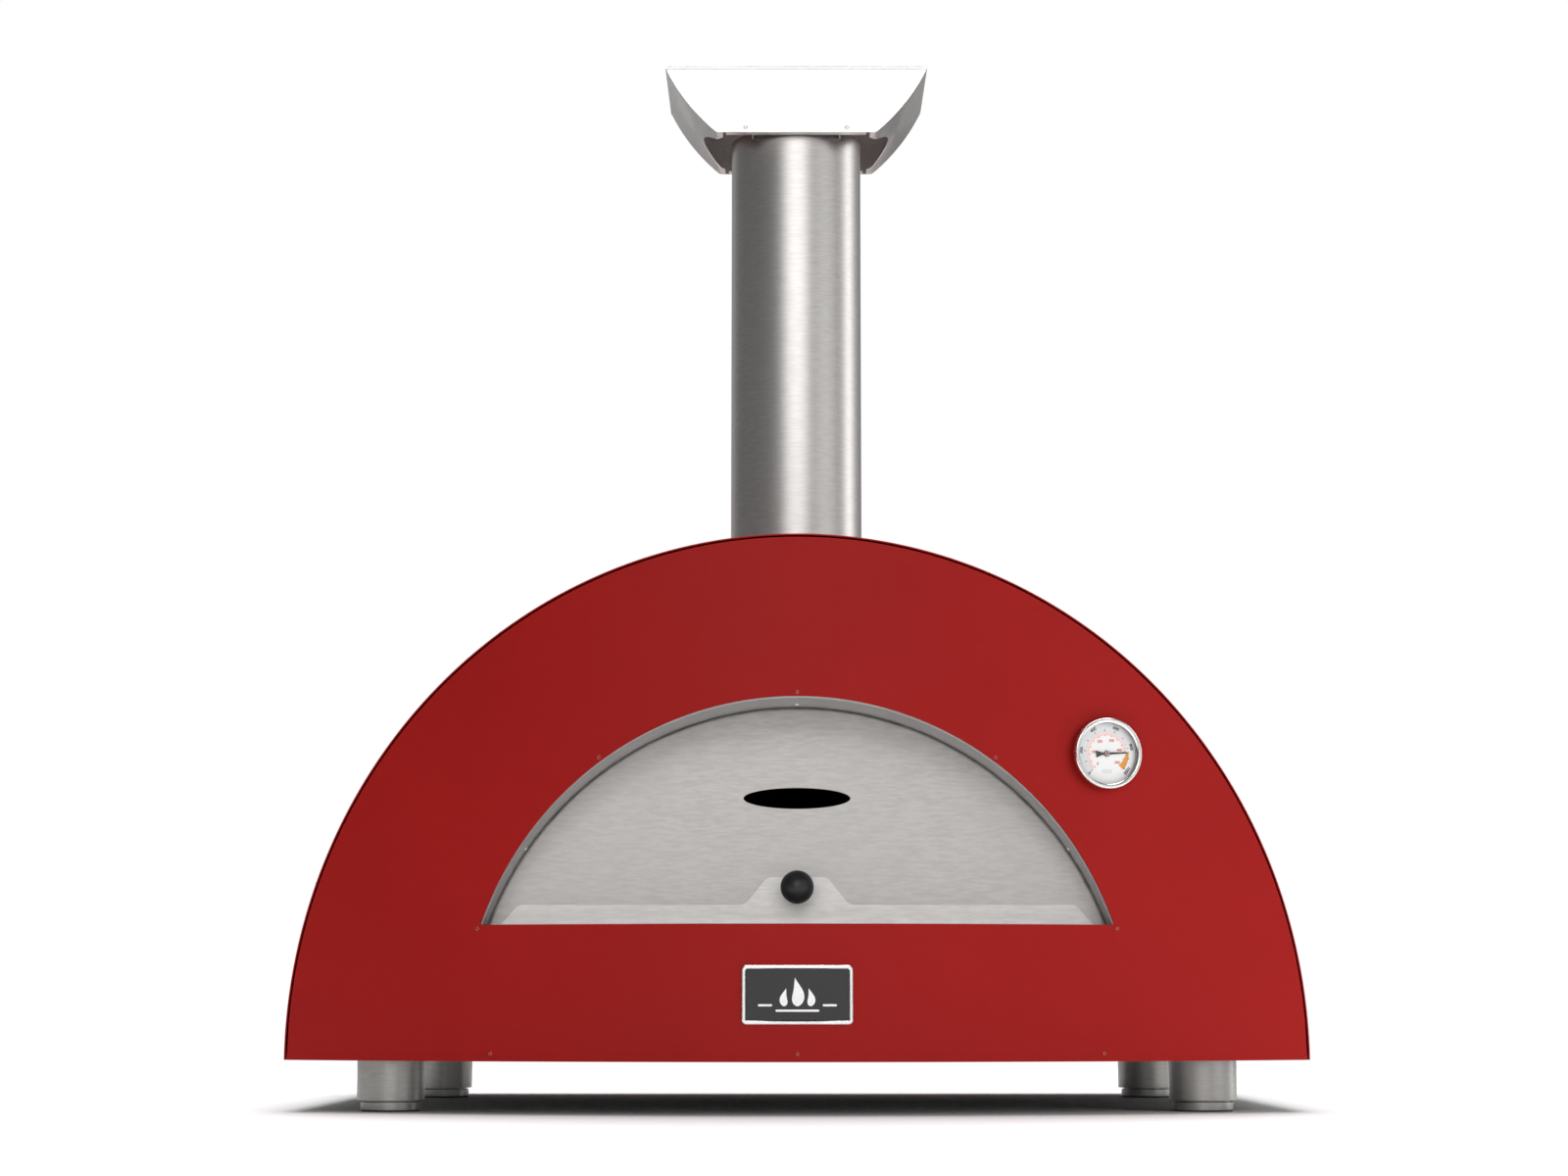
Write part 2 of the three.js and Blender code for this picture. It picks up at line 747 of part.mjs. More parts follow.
// One flat end; 'inward' is +1 for the front end and -1 for the back end.
function cowlEnd(faceY, inward) {
  const yRange = (from, to) => [faceY + inward * from, faceY + inward * to].sort((a, b) => a - b);
  const [plateFrom, plateTo] = yRange(0, cowlSheet);
  const [foldFrom, foldTo] = yRange(0, endFoldDepth);
  const plate = extrudeY(cowlOutline(), plateFrom, plateTo, 24);
  const fold = box(
    [-endFoldHalfWidth, foldFrom, cowlBottomZ],
    [endFoldHalfWidth, foldTo, cowlBottomZ + cowlSheet],
  );
  return plate.add(fold).subtract(cowlScrewHoles());
}

function cowlSideSheet(side) {
  const inset = cowlSheet + gap;
  const sheetSolid = extrudeY(cowlSideOutline(), cowlFrontY + inset, cowlBackY - inset, 24)
    .subtract(flueCore(biteRadius, cowlBottomZ - past, overallHeight - 3 * past));
  return side > 0 ? sheetSolid : sheetSolid.mirror([1, 0, 0]);
}

function cowlLid() {
  const lip = 3.6;
  const reach = cowlSheet + gap;
  const whole = box(
    [-cowlHalfWidth, cowlFrontY - reach, overallHeight - lip],
    [cowlHalfWidth, cowlBackY + reach, overallHeight],
  );
  const hollow = box(
    [-cowlHalfWidth - 1, cowlFrontY - gap, overallHeight - lip - 1],
    [cowlHalfWidth + 1, cowlBackY + gap, overallHeight - cowlSheet],
  );
  return whole.subtract(hollow);
}

// A flat bar across the flue's top, its ends turned outwards to take the cowl's screws.
function cowlBracket(side) {
  const bottomZ = bracketBottomZ;
  const topZ = bottomZ + bracketHeight;
  const frontEnd = cowlFrontY + cowlSheet + gap;
  const backEnd = cowlBackY - cowlSheet - gap;
  const webOutside = webX + sheet / 2;
  const tabOutside = bracketX + bracketTab;
  const bracket = box([webX - sheet / 2, frontEnd, bottomZ], [webOutside, backEnd, topZ])
    .add(box([webOutside - sheet, frontEnd, bottomZ], [tabOutside, frontEnd + sheet, topZ]))
    .add(box([webOutside - sheet, backEnd - sheet, bottomZ], [tabOutside, backEnd, topZ]))
    .subtract(cowlScrewHoles());
  return side > 0 ? bracket : bracket.mirror([1, 0, 0]);
}

// Thermometer, made about its own axis (+Z out of the dial) and turned with the bowed face.

const gauge = new THREE.Group();
gauge.position.set(...gaugePoint);
gauge.rotation.set(Math.PI / 2, 0, gaugeTurn, 'ZXY');
oven.add(gauge);

const caseRadius = 36;
const caseWall = 1;
const caseFloor = 1.2;
const caseTopZ = 11;
const dialZ = 4.5;
const dialThickness = 0.8;
const glassZ = 9.4;
const spindleRadius = 1.2;
const spindleHole = spindleRadius + 2 * gap;
const bezelRadius = 38.3;
const bezelBottomZ = 6;
const bezelTopZ = 13;

function gaugeCase() {
  return turned([
    [spindleHole, gap],
    [caseRadius, gap],
    [caseRadius, caseTopZ],
    [caseRadius - caseWall, caseTopZ],
    [caseRadius - caseWall, gap + caseFloor],
    [spindleHole, gap + caseFloor],
    [spindleHole, gap],
  ], pipeSteps);
}

function gaugeBezel() {
  return turned([
    [caseRadius + gap, bezelBottomZ],
    [bezelRadius, bezelBottomZ],
    [bezelRadius, bezelTopZ - 1.5],
    [bezelRadius - 1.8, bezelTopZ],
    [bezelRadius - 3.8, bezelTopZ],
    [bezelRadius - 5.3, bezelTopZ - 1.6],
    [caseRadius + gap, bezelTopZ - 1.6],
    [caseRadius + gap, bezelBottomZ],
  ], pipeSteps);
}

function gaugeDial() {
  return ring(caseRadius - caseWall - 0.4, spindleHole, dialZ, dialZ + dialThickness);
}

function gaugeGlass() {
  return rod(caseRadius - caseWall - gap, glassZ, caseTopZ, pipeSteps);
}

// The needle's arm and counterweight lie along X, as stored, a few degrees above level.
const needleRestAngle = THREE.MathUtils.degToRad(3.5);

function gaugeNeedle() {
  const fromZ = dialZ + 2 * dialThickness;
  const upper = [[22, 0.7], [3, 1], [-5, 1], [-12, 3]];
  const lower = upper.map(([x, y]) => [x, -y]).reverse();
  const arm = polygon([[24, 0], ...upper, ...lower]);
  const hubRadius = 3;
  const needle = extrudeZ(arm, fromZ, fromZ + 0.6)
    .add(rod(hubRadius, fromZ, fromZ + 1.4))
    .add(rod(spindleRadius, dialZ - 2, fromZ + 1));
  return needle.rotate([0, 0, THREE.MathUtils.radToDeg(needleRestAngle)]);
}

function gaugeStem() {
  const bossLength = 18;
  return turned([
    [0, -probeLength],
    [probeRadius, -probeLength],
    [probeRadius, -bossLength],
    [bossRadius, -bossLength],
    [bossRadius, 0],
    [0, 0],
  ], stemSteps);
}

function gaugeNut() {
  const nutRadius = 13;
  const nutFromZ = -11;
  const nutToZ = -3;
  return rod(nutRadius, nutFromZ, nutToZ, 6)
    .subtract(rod(bossRadius + gap, nutFromZ - past, 0, stemSteps));
}

// Nameplate: a rounded frame round a dark field, curved with the panel.

const plateZ = 126;
const plateSize = [117, 62];
const plateCorner = 5;
const frameWidth = 4;
const openingCorner = 2;
const cornerSteps = 12;

function plateBlock(inset, corner) {
  const [width, height] = plateSize.map((side) => side - 2 * inset);
  const outline = roundedRectangle(width, height, corner);
  return extrudeY(outline, frontY - 2 * past, frontY + 2 * past, cornerSteps).translate([0, 0, plateZ]);
}

function bent(block, thickness) {
  return block.intersect(bowSlab(-gap - thickness, thickness));
}

function nameplateFrame() {
  return bent(plateBlock(0, plateCorner), trimProud - gap)
    .subtract(plateBlock(frameWidth, openingCorner));
}

function nameplateField() {
  return bent(plateBlock(frameWidth + gap, openingCorner - gap), trimProud - gap - 1);
}

// Assembly.

addPiece('front_panel', frontPanel(), redPaint);
addPiece('outer_shell', outerShell(), redPaint);
addPiece('rear_panel', rearPanel(), redPaint);
addPiece('base_tray', baseTray(), darkSteel);
panelScrewXs.forEach((x, i) => {
  const place = [x, bowY(x), panelScrewZ];
  addPiece(`panel_screw_${i + 1}`, aim(screw(shortScrew), bowNormal(x), place), redPaint);
});

for (const [place, [x, y]] of Object.entries(legPlaces)) {
  addPiece(`leg_${place}`, legTube(), brushedSteel).position.set(x, y, 0);
  addPiece(`foot_${place}`, legFoot(), brushedSteel).position.set(x, y, 0);
}

addPiece('chamber_dome', chamberDome(), plainSteel);
addPiece('chamber_front', chamberFront(), plainSteel);
addPiece('chamber_rear', chamberRear(), plainSteel);
addPiece('hearth_tray', hearthTray(), darkSteel);
addPiece('dome_blanket', domeBlanket(), fibre);
addPiece('front_insulation', frontInsulation(), fibre);
addPiece('rear_insulation', rearInsulation(), fibre);
addPiece('floor_insulation', floorInsulation(), fibre);
for (const row of [0, 1]) {
  for (const column of [-1, 0]) {
    addPiece(`floor_tile_${row * 2 + column + 2}`, floorTile(column, row), firebrick);
  }
}

addPiece('mouth_sill', mouthSill(), brushedSteel);
addPiece('mouth_reveal', mouthReveal(), brushedSteel);
revealScrewTurns.forEach((turn, i) => {
  const { inward, point } = revealScrewPlace(turn);
  addPiece(`reveal_screw_${i + 1}`, aim(screw(shortScrew), inward, point), plainSteel);
});

addPiece('door_panel', doorPanel(), brushedSteel);
addPiece('door_foot', doorFoot(), brushedSteel);
addPiece('door_knob', knobBall(), blackPlastic);
addPiece('knob_spacer', knobSpacer(), plainSteel);
addPiece('knob_bolt', knobBolt(), plainSteel);

addPiece('flue_spigot', flueSpigot(), plainSteel);
addPiece('flue_pipe', fluePipe(), brushedSteel);
addPiece('flue_collar', flueCollar(), brushedSteel);
addPiece('cowl_front', cowlEnd(cowlFrontY, 1), brushedSteel);
addPiece('cowl_back', cowlEnd(cowlBackY, -1), brushedSteel);
addPiece('cowl_lid', cowlLid(), brushedSteel);
for (const [name, side] of [['left', -1], ['right', 1]]) {
  addPiece(`cowl_side_${name}`, cowlSideSheet(side), brushedSteel);
  addPiece(`cowl_bracket_${name}`, cowlBracket(side), plainSteel);
  const x = side * bracketX;
  const front = aim(screw(longScrew), [0, -1, 0], [x, cowlFrontY, cowlScrewZ]);
  const back = aim(screw(longScrew), [0, 1, 0], [x, cowlBackY, cowlScrewZ]);
  addPiece(`cowl_screw_front_${name}`, front, plainSteel);
  addPiece(`cowl_screw_back_${name}`, back, plainSteel);
}

addPiece('gauge_case', gaugeCase(), brushedSteel, gauge);
addPiece('gauge_bezel', gaugeBezel(), brushedSteel, gauge);
addPiece('gauge_dial', gaugeDial(), whiteEnamel, gauge);
addPiece('gauge_needle', gaugeNeedle(), blackEnamel, gauge);
addPiece('gauge_glass', gaugeGlass(), clearGlass, gauge);
addPiece('gauge_stem', gaugeStem(), plainSteel, gauge);
addPiece('gauge_nut', gaugeNut(), plainSteel, gauge);

addPiece('nameplate_frame', nameplateFrame(), brushedSteel);
addPiece('nameplate_field', nameplateField(), blackEnamel);

export default oven;
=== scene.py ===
"""Looks of the wood-fired pizza oven: fine sheet-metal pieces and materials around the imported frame.

Metres, +Z up, the mouth towards -Y, as in the frame.
"""

from math import acos, asin, atan2, cos, pi, radians, sin, sqrt

import bmesh
import bpy
from mathutils import Matrix, Vector, noise


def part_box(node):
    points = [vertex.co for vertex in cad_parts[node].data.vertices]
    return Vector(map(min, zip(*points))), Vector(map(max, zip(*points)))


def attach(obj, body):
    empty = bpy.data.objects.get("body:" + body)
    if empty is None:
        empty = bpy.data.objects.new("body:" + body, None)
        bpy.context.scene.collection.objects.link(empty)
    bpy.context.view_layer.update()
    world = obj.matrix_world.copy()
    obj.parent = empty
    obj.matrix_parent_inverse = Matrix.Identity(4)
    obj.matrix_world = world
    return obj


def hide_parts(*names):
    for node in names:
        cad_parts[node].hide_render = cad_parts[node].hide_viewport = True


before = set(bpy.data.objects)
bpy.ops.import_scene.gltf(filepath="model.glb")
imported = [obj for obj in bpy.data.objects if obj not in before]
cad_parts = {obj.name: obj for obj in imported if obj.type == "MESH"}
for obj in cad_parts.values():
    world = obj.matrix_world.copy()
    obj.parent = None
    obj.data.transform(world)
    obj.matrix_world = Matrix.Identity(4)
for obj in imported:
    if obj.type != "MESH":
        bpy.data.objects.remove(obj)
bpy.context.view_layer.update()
scene = bpy.context.scene

# ---- sizes

MM = 0.001
SHEET = 1.5 * MM
HEAVY_SHEET = 2 * MM
GAP = 0.3 * MM
RIM_DEPTH = 18 * MM  # of the rims folded back from the panels
BOW_R = 1.211  # plan radius of the front panel
MOUTH_R = 0.3587
MOUTH_Z = 0.0826
CHAMBER_R = 0.436
RIVET_R = 2.7 * MM
REAR_RIVET_H = 1.4 * MM


def low(node):
    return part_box(node)[0]


def high(node):
    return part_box(node)[1]


def middle(node):
    lo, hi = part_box(node)
    return (lo + hi) / 2


SHELL_R = high("outer_shell").x
BASE_Z = low("outer_shell").z
FRONT_Y = low("outer_shell").y
REVEAL_R = MOUTH_R - 2.1 * MM
REAR_Y = high("outer_shell").y
REAR_FACE_Y = high("rear_panel").y
REAR_SINK = max(0.0, REAR_FACE_Y + REAR_RIVET_H - REAR_Y)  # keeps rear rivets inside the casing
PANEL_R = high("front_panel").x
SILL_Z = high("mouth_sill").z
STOP_Y = high("mouth_reveal").y + GAP  # face of the wall that the door closes against
FLUE_R = high("flue_pipe").x
FLUE_Y = (low("flue_pipe").y + high("flue_pipe").y) / 2
DOOR_Y = low("door_panel").y
TOP_Z = BASE_Z + SHELL_R


def bow_y(x, offset=0.0):
    """Y of the bowed face at x, or of a surface that lies offset behind it."""
    return FRONT_Y + BOW_R - sqrt((BOW_R - offset) ** 2 - x * x)


def arch_z(x, radius, centre_z):
    return centre_z + sqrt(max(0.0, radius * radius - x * x))


# ---- mesh helpers


def new_object(name, mesh):
    obj = bpy.data.objects.new(name, mesh)
    scene.collection.objects.link(obj)
    return obj


def from_faces(name, verts, faces):
    mesh = bpy.data.meshes.new(name)
    mesh.from_pydata([tuple(v) for v in verts], [], faces)
    return new_object(name, mesh)


def edit(obj, change):
    """Runs change(bm) on the object's mesh."""
    bm = bmesh.new()
    bm.from_mesh(obj.data)
    change(bm)
    bm.to_mesh(obj.data)
    bm.free()


def clean(bm):
    bmesh.ops.remove_doubles(bm, verts=bm.verts, dist=1e-6)
    bmesh.ops.dissolve_degenerate(bm, dist=1e-6, edges=bm.edges)
    bmesh.ops.recalc_face_normals(bm, faces=bm.faces)


def bake(obj):
    """Replaces the mesh by what its modifiers make of it."""
    bpy.context.view_layer.update()
    graph = bpy.context.evaluated_depsgraph_get()
    mesh = bpy.data.meshes.new_from_object(obj.evaluated_get(graph))
    obj.modifiers.clear()
    obj.data = mesh


def shade_smooth(mesh, angle=35):
    """Smooth shading, but for edges sharper than the angle."""
    mesh.polygons.foreach_set("use_smooth", [True] * len(mesh.polygons))
    mesh.set_sharp_from_angle(angle=radians(angle))


def soften(obj, width=0.4 * MM, segments=2, angle=35):
    """Rounds the hard edges a little and shades the rest smooth."""
    mod = obj.modifiers.new("bevel", "BEVEL")
    mod.width = width
    mod.segments = segments
    mod.limit_method = "ANGLE"
    mod.angle_limit = radians(angle)
    mod.use_clamp_overlap = True
    bake(obj)
    shade_smooth(obj.data, angle)
    return obj


def thicken(obj, thickness, facing=None, outward=False, even=True):
    """Makes a sheet solid, after turning its faces the way that facing tests."""
    if facing and not facing(obj.data):
        obj.data.flip_normals()
    mod = obj.modifiers.new("sheet", "SOLIDIFY")
    mod.thickness = thickness
    mod.offset = 1 if outward else -1
    mod.use_even_offset = even
    mod.use_quality_normals = True
    bake(obj)
    edit(obj, clean)
    return obj


def grid(name, rows, closed=False):
    """A sheet through rows of points, all rows of one length."""
    width = len(rows[0])
    verts = [p for row in rows for p in row]
    faces = []
    for i in range(len(rows) if closed else len(rows) - 1):
        j = (i + 1) % len(rows)
        for k in range(width - 1):
            faces.append((i * width + k, i * width + k + 1, j * width + k + 1, j * width + k))
    obj = from_faces(name, verts, faces)
    edit(obj, clean)
    return obj


def faces_up(mesh):
    return sum(p.normal.z * p.area for p in mesh.polygons) > 0


def faces_down(mesh):
    return not faces_up(mesh)


def faces_front(mesh):
    return sum(p.normal.y * p.area for p in mesh.polygons) < 0


def faces_back(mesh):
    return not faces_front(mesh)


def ring_profile(inner, outer, low_z, high_z):
    return [(inner, low_z), (outer, low_z), (outer, high_z), (inner, high_z), (inner, low_z)]


def facing_front(x, y, z):
    """Turns +Z to -Y, and moves to a point."""
    return Matrix.Translation((x, y, z)) @ Matrix.Rotation(pi / 2, 4, "X")


def turned(name, profile, steps=96, place=None):
    """A piece turned about Z from (radius, height) points, then moved by a matrix."""
    rows = []
    for i in range(steps):
        turn = 2 * pi * i / steps
        rows.append([Vector((r * cos(turn), r * sin(turn), z)) for r, z in profile])
    obj = grid(name, rows, closed=True)
    if place is not None:
        obj.data.transform(place)
    return obj


def rounded(points, radius, steps=4, closed=True):
    """A polygon's points with each corner rounded."""
    out = []
    count = len(points)
    for i, corner in enumerate(points):
        here = Vector(corner)
        if not closed and i in (0, count - 1):
            out.append(tuple(here))
            continue
        before = Vector(points[i - 1]) - here
        after = Vector(points[(i + 1) % count]) - here
        cut = min(radius, before.length * 0.45, after.length * 0.45)
        start = here + before.normalized() * cut
        end = here + after.normalized() * cut
        for k in range(steps + 1):
            t = k / steps
            out.append(tuple((1 - t) ** 2 * start + 2 * t * (1 - t) * here + t * t * end))
    return out


def arc(cx, cz, radius, start, end, steps):
    span = end - start
    return [
        (cx + radius * cos(start + span * i / steps), cz + radius * sin(start + span * i / steps))
        for i in range(steps + 1)
    ]


def mesh_of(curve):
    """The mesh that a curve or a text makes; the curve itself is used up."""
    source = bpy.data.objects.new(curve.name + "_source", curve)
    scene.collection.objects.link(source)
    bpy.context.view_layer.update()
    graph = bpy.context.evaluated_depsgraph_get()
    mesh = bpy.data.meshes.new_from_object(source.evaluated_get(graph))
    bpy.data.objects.remove(source)
    bpy.data.curves.remove(curve)
    return mesh


def plate(name, outlines, y0, y1):
    """A flat plate in the XZ plane between y0 and y1; outlines after the first are holes."""
    curve = bpy.data.curves.new(name, "CURVE")
    curve.dimensions = "2D"
    curve.fill_mode = "BOTH"
    curve.extrude = (y1 - y0) / 2
    for outline in outlines:
        spline = curve.splines.new("POLY")
        spline.points.add(len(outline) - 1)
        for point, (x, z) in zip(spline.points, outline):
            point.co = (x, z, 0, 1)
        spline.use_cyclic_u = True
    mesh = mesh_of(curve)
    mesh.transform(facing_front(0, (y0 + y1) / 2, 0))
    obj = new_object(name, mesh)
    edit(obj, clean)
    return obj


def block(name, lo, hi):
    bm = bmesh.new()
    bmesh.ops.create_cube(bm, size=1)
    size = Vector(hi) - Vector(lo)
    place = Matrix.Translation((Vector(hi) + Vector(lo)) / 2)
    bmesh.ops.transform(bm, matrix=place @ Matrix.Diagonal((*size, 1)), verts=bm.verts)
    mesh = bpy.data.meshes.new(name)
    bm.to_mesh(mesh)
    bm.free()
    return new_object(name, mesh)


def join(name, parts):
    """One object of several, in the order given."""
    bm = bmesh.new()
    for part in parts:
        bm.from_mesh(part.data)
        bpy.data.objects.remove(part)
    mesh = bpy.data.meshes.new(name)
    bm.to_mesh(mesh)
    bm.free()
    shade_smooth(mesh)
    return new_object(name, mesh)


def put(obj, slot, material, *nodes, body="oven"):
    """Gives a piece its body, finish and the CAD nodes that it stands for."""
    obj.data.materials.clear()
    obj.data.materials.append(material)
    level = obj.modifiers.new("level_normals", "WEIGHTED_NORMAL")
    level.keep_sharp = True
    level.weight = 100
    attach(obj, body)
    if nodes:
        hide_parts(*nodes)
    return obj


def keep(node, material, bevel=0.0):
    """A CAD node that stays, with a better material and softened edges."""
    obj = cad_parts[node]
    obj.data.materials.clear()
    obj.data.materials.append(material)
    if bevel:
        mod = obj.modifiers.new("bevel", "BEVEL")
        mod.width = bevel
        mod.segments = 2
        mod.limit_method = "ANGLE"
        mod.angle_limit = radians(40)
    return obj


# ---- materials


class Nodes:
    """A few shorthands over one material's node tree."""

    def __init__(self, name):
        self.material = bpy.data.materials.new(name)
        self.material.use_nodes = True
        self.tree = self.material.node_tree
        self.shader = self.tree.nodes["Principled BSDF"]
        self.place = self.tree.nodes.new("ShaderNodeTexCoord").outputs["Object"]

    def add(self, kind, inputs=None, **values):
        node = self.tree.nodes.new(kind)
        for key, value in values.items():
            setattr(node, key, value)
        for key, value in (inputs or {}).items():
            node.inputs[key].default_value = value
        return node

    def link(self, source, target):
        self.tree.links.new(source, target)

    def noise(self, scale, detail=3.0, roughness=0.5, stretch=(1, 1, 1)):
        mapping = self.add("ShaderNodeMapping", {"Scale": stretch})
        self.link(self.place, mapping.inputs["Vector"])
        sizes = {"Scale": scale, "Detail": detail, "Roughness": roughness}
        node = self.add("ShaderNodeTexNoise", sizes)
        self.link(mapping.outputs["Vector"], node.inputs["Vector"])
        return node.outputs["Fac"]

    def ramp(self, value, stops):
        node = self.add("ShaderNodeValToRGB")
        ramp = node.color_ramp
        while len(ramp.elements) < len(stops):
            ramp.elements.new(0.5)
        for element, (position, colour) in zip(ramp.elements, stops):
            element.position = position
            element.color = (*colour, 1)
        self.link(value, node.inputs["Fac"])
        return node.outputs["Color"]

    def span(self, value, low_to, high_to, low_from=0.3, high_from=0.7):
        ends = {"From Min": low_from, "From Max": high_from, "To Min": low_to, "To Max": high_to}
        node = self.add("ShaderNodeMapRange", ends)
        self.link(value, node.inputs["Value"])
        return node.outputs["Result"]

    def mix(self, factor, a, b):
        node = self.add("ShaderNodeMix", data_type="RGBA")
        for key, value in (("Factor", factor), ("A", a), ("B", b)):
            socket = next(s for s in node.inputs if s.name == key and s.enabled)
            if isinstance(value, (tuple, float, int)):
                socket.default_value = (*value, 1) if isinstance(value, tuple) else value
            else:
                self.link(value, socket)
        return next(s for s in node.outputs if s.enabled)

    def edges(self, radius):
        """1 along convex and concave edges, 0 on open surface."""
        bevel = self.add("ShaderNodeBevel", {"Radius": radius}, samples=4)
        plain = self.add("ShaderNodeNewGeometry")
        dot = self.add("ShaderNodeVectorMath", operation="DOT_PRODUCT")
        self.link(bevel.outputs["Normal"], dot.inputs[0])
        self.link(plain.outputs["Normal"], dot.inputs[1])
        return self.span(dot.outputs["Value"], 1.0, 0.0, 0.90, 0.995)

    def colour(self, value):
        self.link(value, self.shader.inputs["Base Color"])

    def rough(self, value, low_to, high_to):
        self.link(self.span(value, low_to, high_to), self.shader.inputs["Roughness"])

    def bump(self, height, strength, distance):
        node = self.add("ShaderNodeBump", {"Strength": strength, "Distance": distance})
        self.link(height, node.inputs["Height"])
        self.link(node.outputs["Normal"], self.shader.inputs["Normal"])

    def set(self, **values):
        for key, value in values.items():
            self.shader.inputs[key.replace("_", " ")].default_value = value


def linear(r, g, b):
    """Linear colour of an 8-bit display colour."""
    return tuple(((c / 255 + 0.055) / 1.055) ** 2.4 if c > 10 else c / 255 / 12.92 for c in (r, g, b))


def red_paint():
    """Powder coat: a fine orange-peel surface, cloudy in tone, worn a little paler on its edges."""
    n = Nodes("red_paint")
    cloud = n.noise(5, 4)
    tone = n.mix(cloud, linear(152, 20, 18), linear(165, 24, 21))
    worn = n.mix(n.edges(0.9 * MM), (0, 0, 0), (0.35, 0.35, 0.35))
    n.colour(n.mix(worn, tone, linear(205, 60, 52)))
    n.rough(n.noise(60, 3), 0.40, 0.50)
    n.bump(n.noise(900, 2), 0.12, 0.2 * MM)
    n.set(Metallic=0.0, Specular_IOR_Level=0.12)
    return n.material


def finish(name, tone, colours, rough, bump, **values):
    """Two colours mixed by one noise, a roughness that wanders with another, and a fine bump."""
    n = Nodes(name)
    n.colour(n.mix(n.noise(*tone), *colours))
    scale, low_to, high_to = rough[:3]
    n.rough(n.noise(scale, *rough[3:]), low_to, high_to)
    scale, detail, strength, distance = bump[:4]
    n.bump(n.noise(scale, detail, *bump[4:]), strength, distance)
    n.set(**values)
    return n.material


def red_rivet_paint():
    """The same red, glossier, on the small rivet heads."""
    reds = linear(160, 26, 23), linear(176, 34, 30)
    return finish("red_rivet_paint", (300, 2), reds, (500, 0.16, 0.24, 2), (2400, 2, 0.05, 0.05 * MM),
                  Specular_IOR_Level=0.8)


def brushed(name, colour, stretch, depth=0.12, roughness=(0.32, 0.38), contrast=0.07, anisotropy=0.4):
    """Brushed stainless steel; stretch is small along the grain and large across it."""
    n = Nodes(name)
    fine = n.noise(1, 2, 0.6, stretch)
    hair = n.noise(3, 2, 0.6, stretch)
    cloud = n.noise(6, 3)
    dark = tuple(c * (1 - contrast) for c in colour)
    pale = tuple(min(1.0, c * (1 + contrast)) for c in colour)
    tone = n.mix(n.span(fine, 0, 1, 0.35, 0.65), dark, pale)
    n.colour(n.mix(n.span(cloud, 0.0, 0.35), tone, colour))
    n.rough(hair, *roughness)
    n.bump(fine, depth, 0.05 * MM)
    n.set(Metallic=1.0, Anisotropic=anisotropy)
    return n


def around_z(n):
    """Grain that runs round a turned or rolled piece."""
    tangent = n.add("ShaderNodeTangent", direction_type="RADIAL", axis="Z")
    n.link(tangent.outputs["Tangent"], n.shader.inputs["Tangent"])
    return n.material


def plain_steel():
    """Cold-rolled steel behind the casing, heat-tinted in soft patches."""
    n = Nodes("plain_steel")
    patch = n.noise(7, 5, 0.6)
    tone = n.ramp(patch, [(0.3, (0.40, 0.37, 0.33)), (0.55, (0.50, 0.49, 0.47)), (0.8, (0.44, 0.40, 0.42))])
    n.colour(tone)
    n.rough(n.noise(90, 3), 0.38, 0.55)
    n.bump(n.noise(350, 3), 0.1, 0.1 * MM)
    n.set(Metallic=0.9)
    return n.material


def sooty_steel():
    """The vault over the fire: steel under a film of soot."""
    n = Nodes("sooty_steel")
    soot = n.noise(9, 6, 0.65)
    n.colour(n.ramp(soot, [(0.3, (0.02, 0.018, 0.016)), (0.7, (0.11, 0.1, 0.09))]))
    n.rough(soot, 0.85, 0.5)
    n.bump(n.noise(220, 4), 0.2, 0.2 * MM)
    n.set(Metallic=0.4)
    return n.material


def dark_steel():
    """Dark galvanised and painted sheet of the base."""
    n = Nodes("dark_steel")
    n.colour(n.ramp(n.noise(24, 4), [(0.35, (0.035, 0.035, 0.037)), (0.65, (0.06, 0.06, 0.062))]))
    n.rough(n.noise(70, 3), 0.5, 0.65)
    n.bump(n.noise(500, 2), 0.15, 0.1 * MM)
    n.set(Metallic=0.5)
    return n.material


def bright_metal():
    """Polished steel of the bezel and the nameplate's frame, with faint rubbing marks."""
    greys = (0.82, 0.82, 0.82), (0.93, 0.93, 0.92)
    return finish("bright_metal", (40, 3), greys, (260, 0.16, 0.30, 3, 0.5, (1, 1, 4)),
                  (1400, 2, 0.04, 0.05 * MM, 0.5, (1, 1, 3)), Metallic=1.0)


def firebrick():
    """Pressed fireclay: sandy, speckled, browned by the fire."""
    n = Nodes("firebrick")
    base = n.ramp(n.noise(14, 5, 0.6), [(0.3, linear(176, 150, 116)), (0.7, linear(214, 192, 158))])
    speck = n.add("ShaderNodeTexVoronoi", {"Scale": 420})
    n.link(n.place, speck.inputs["Vector"])
    grit = n.span(speck.outputs["Distance"], 1, 0, 0.05, 0.22)
    n.colour(n.mix(grit, base, linear(120, 92, 66)))
    n.rough(n.noise(300, 3), 0.8, 0.97)
    n.bump(n.noise(700, 5, 0.7), 0.5, 0.6 * MM)
    return n.material


def fibre():
    """Ceramic-fibre felt."""
    creams = linear(214, 208, 194), linear(240, 236, 226)
    felt = (500, 6, 0.6, 1.0 * MM, 0.75, (1, 1, 4))
    return finish("ceramic_fibre", (30, 5), creams, (200, 0.9, 1.0, 2), felt)


def black_plastic():
    """Moulded phenolic of the knob: almost black, softly glossy, with a fine pebble."""
    blacks = linear(24, 24, 25), linear(36, 36, 37)
    return finish("black_plastic", (120, 3), blacks, (160, 0.36, 0.48, 3), (1500, 2, 0.08, 0.1 * MM))


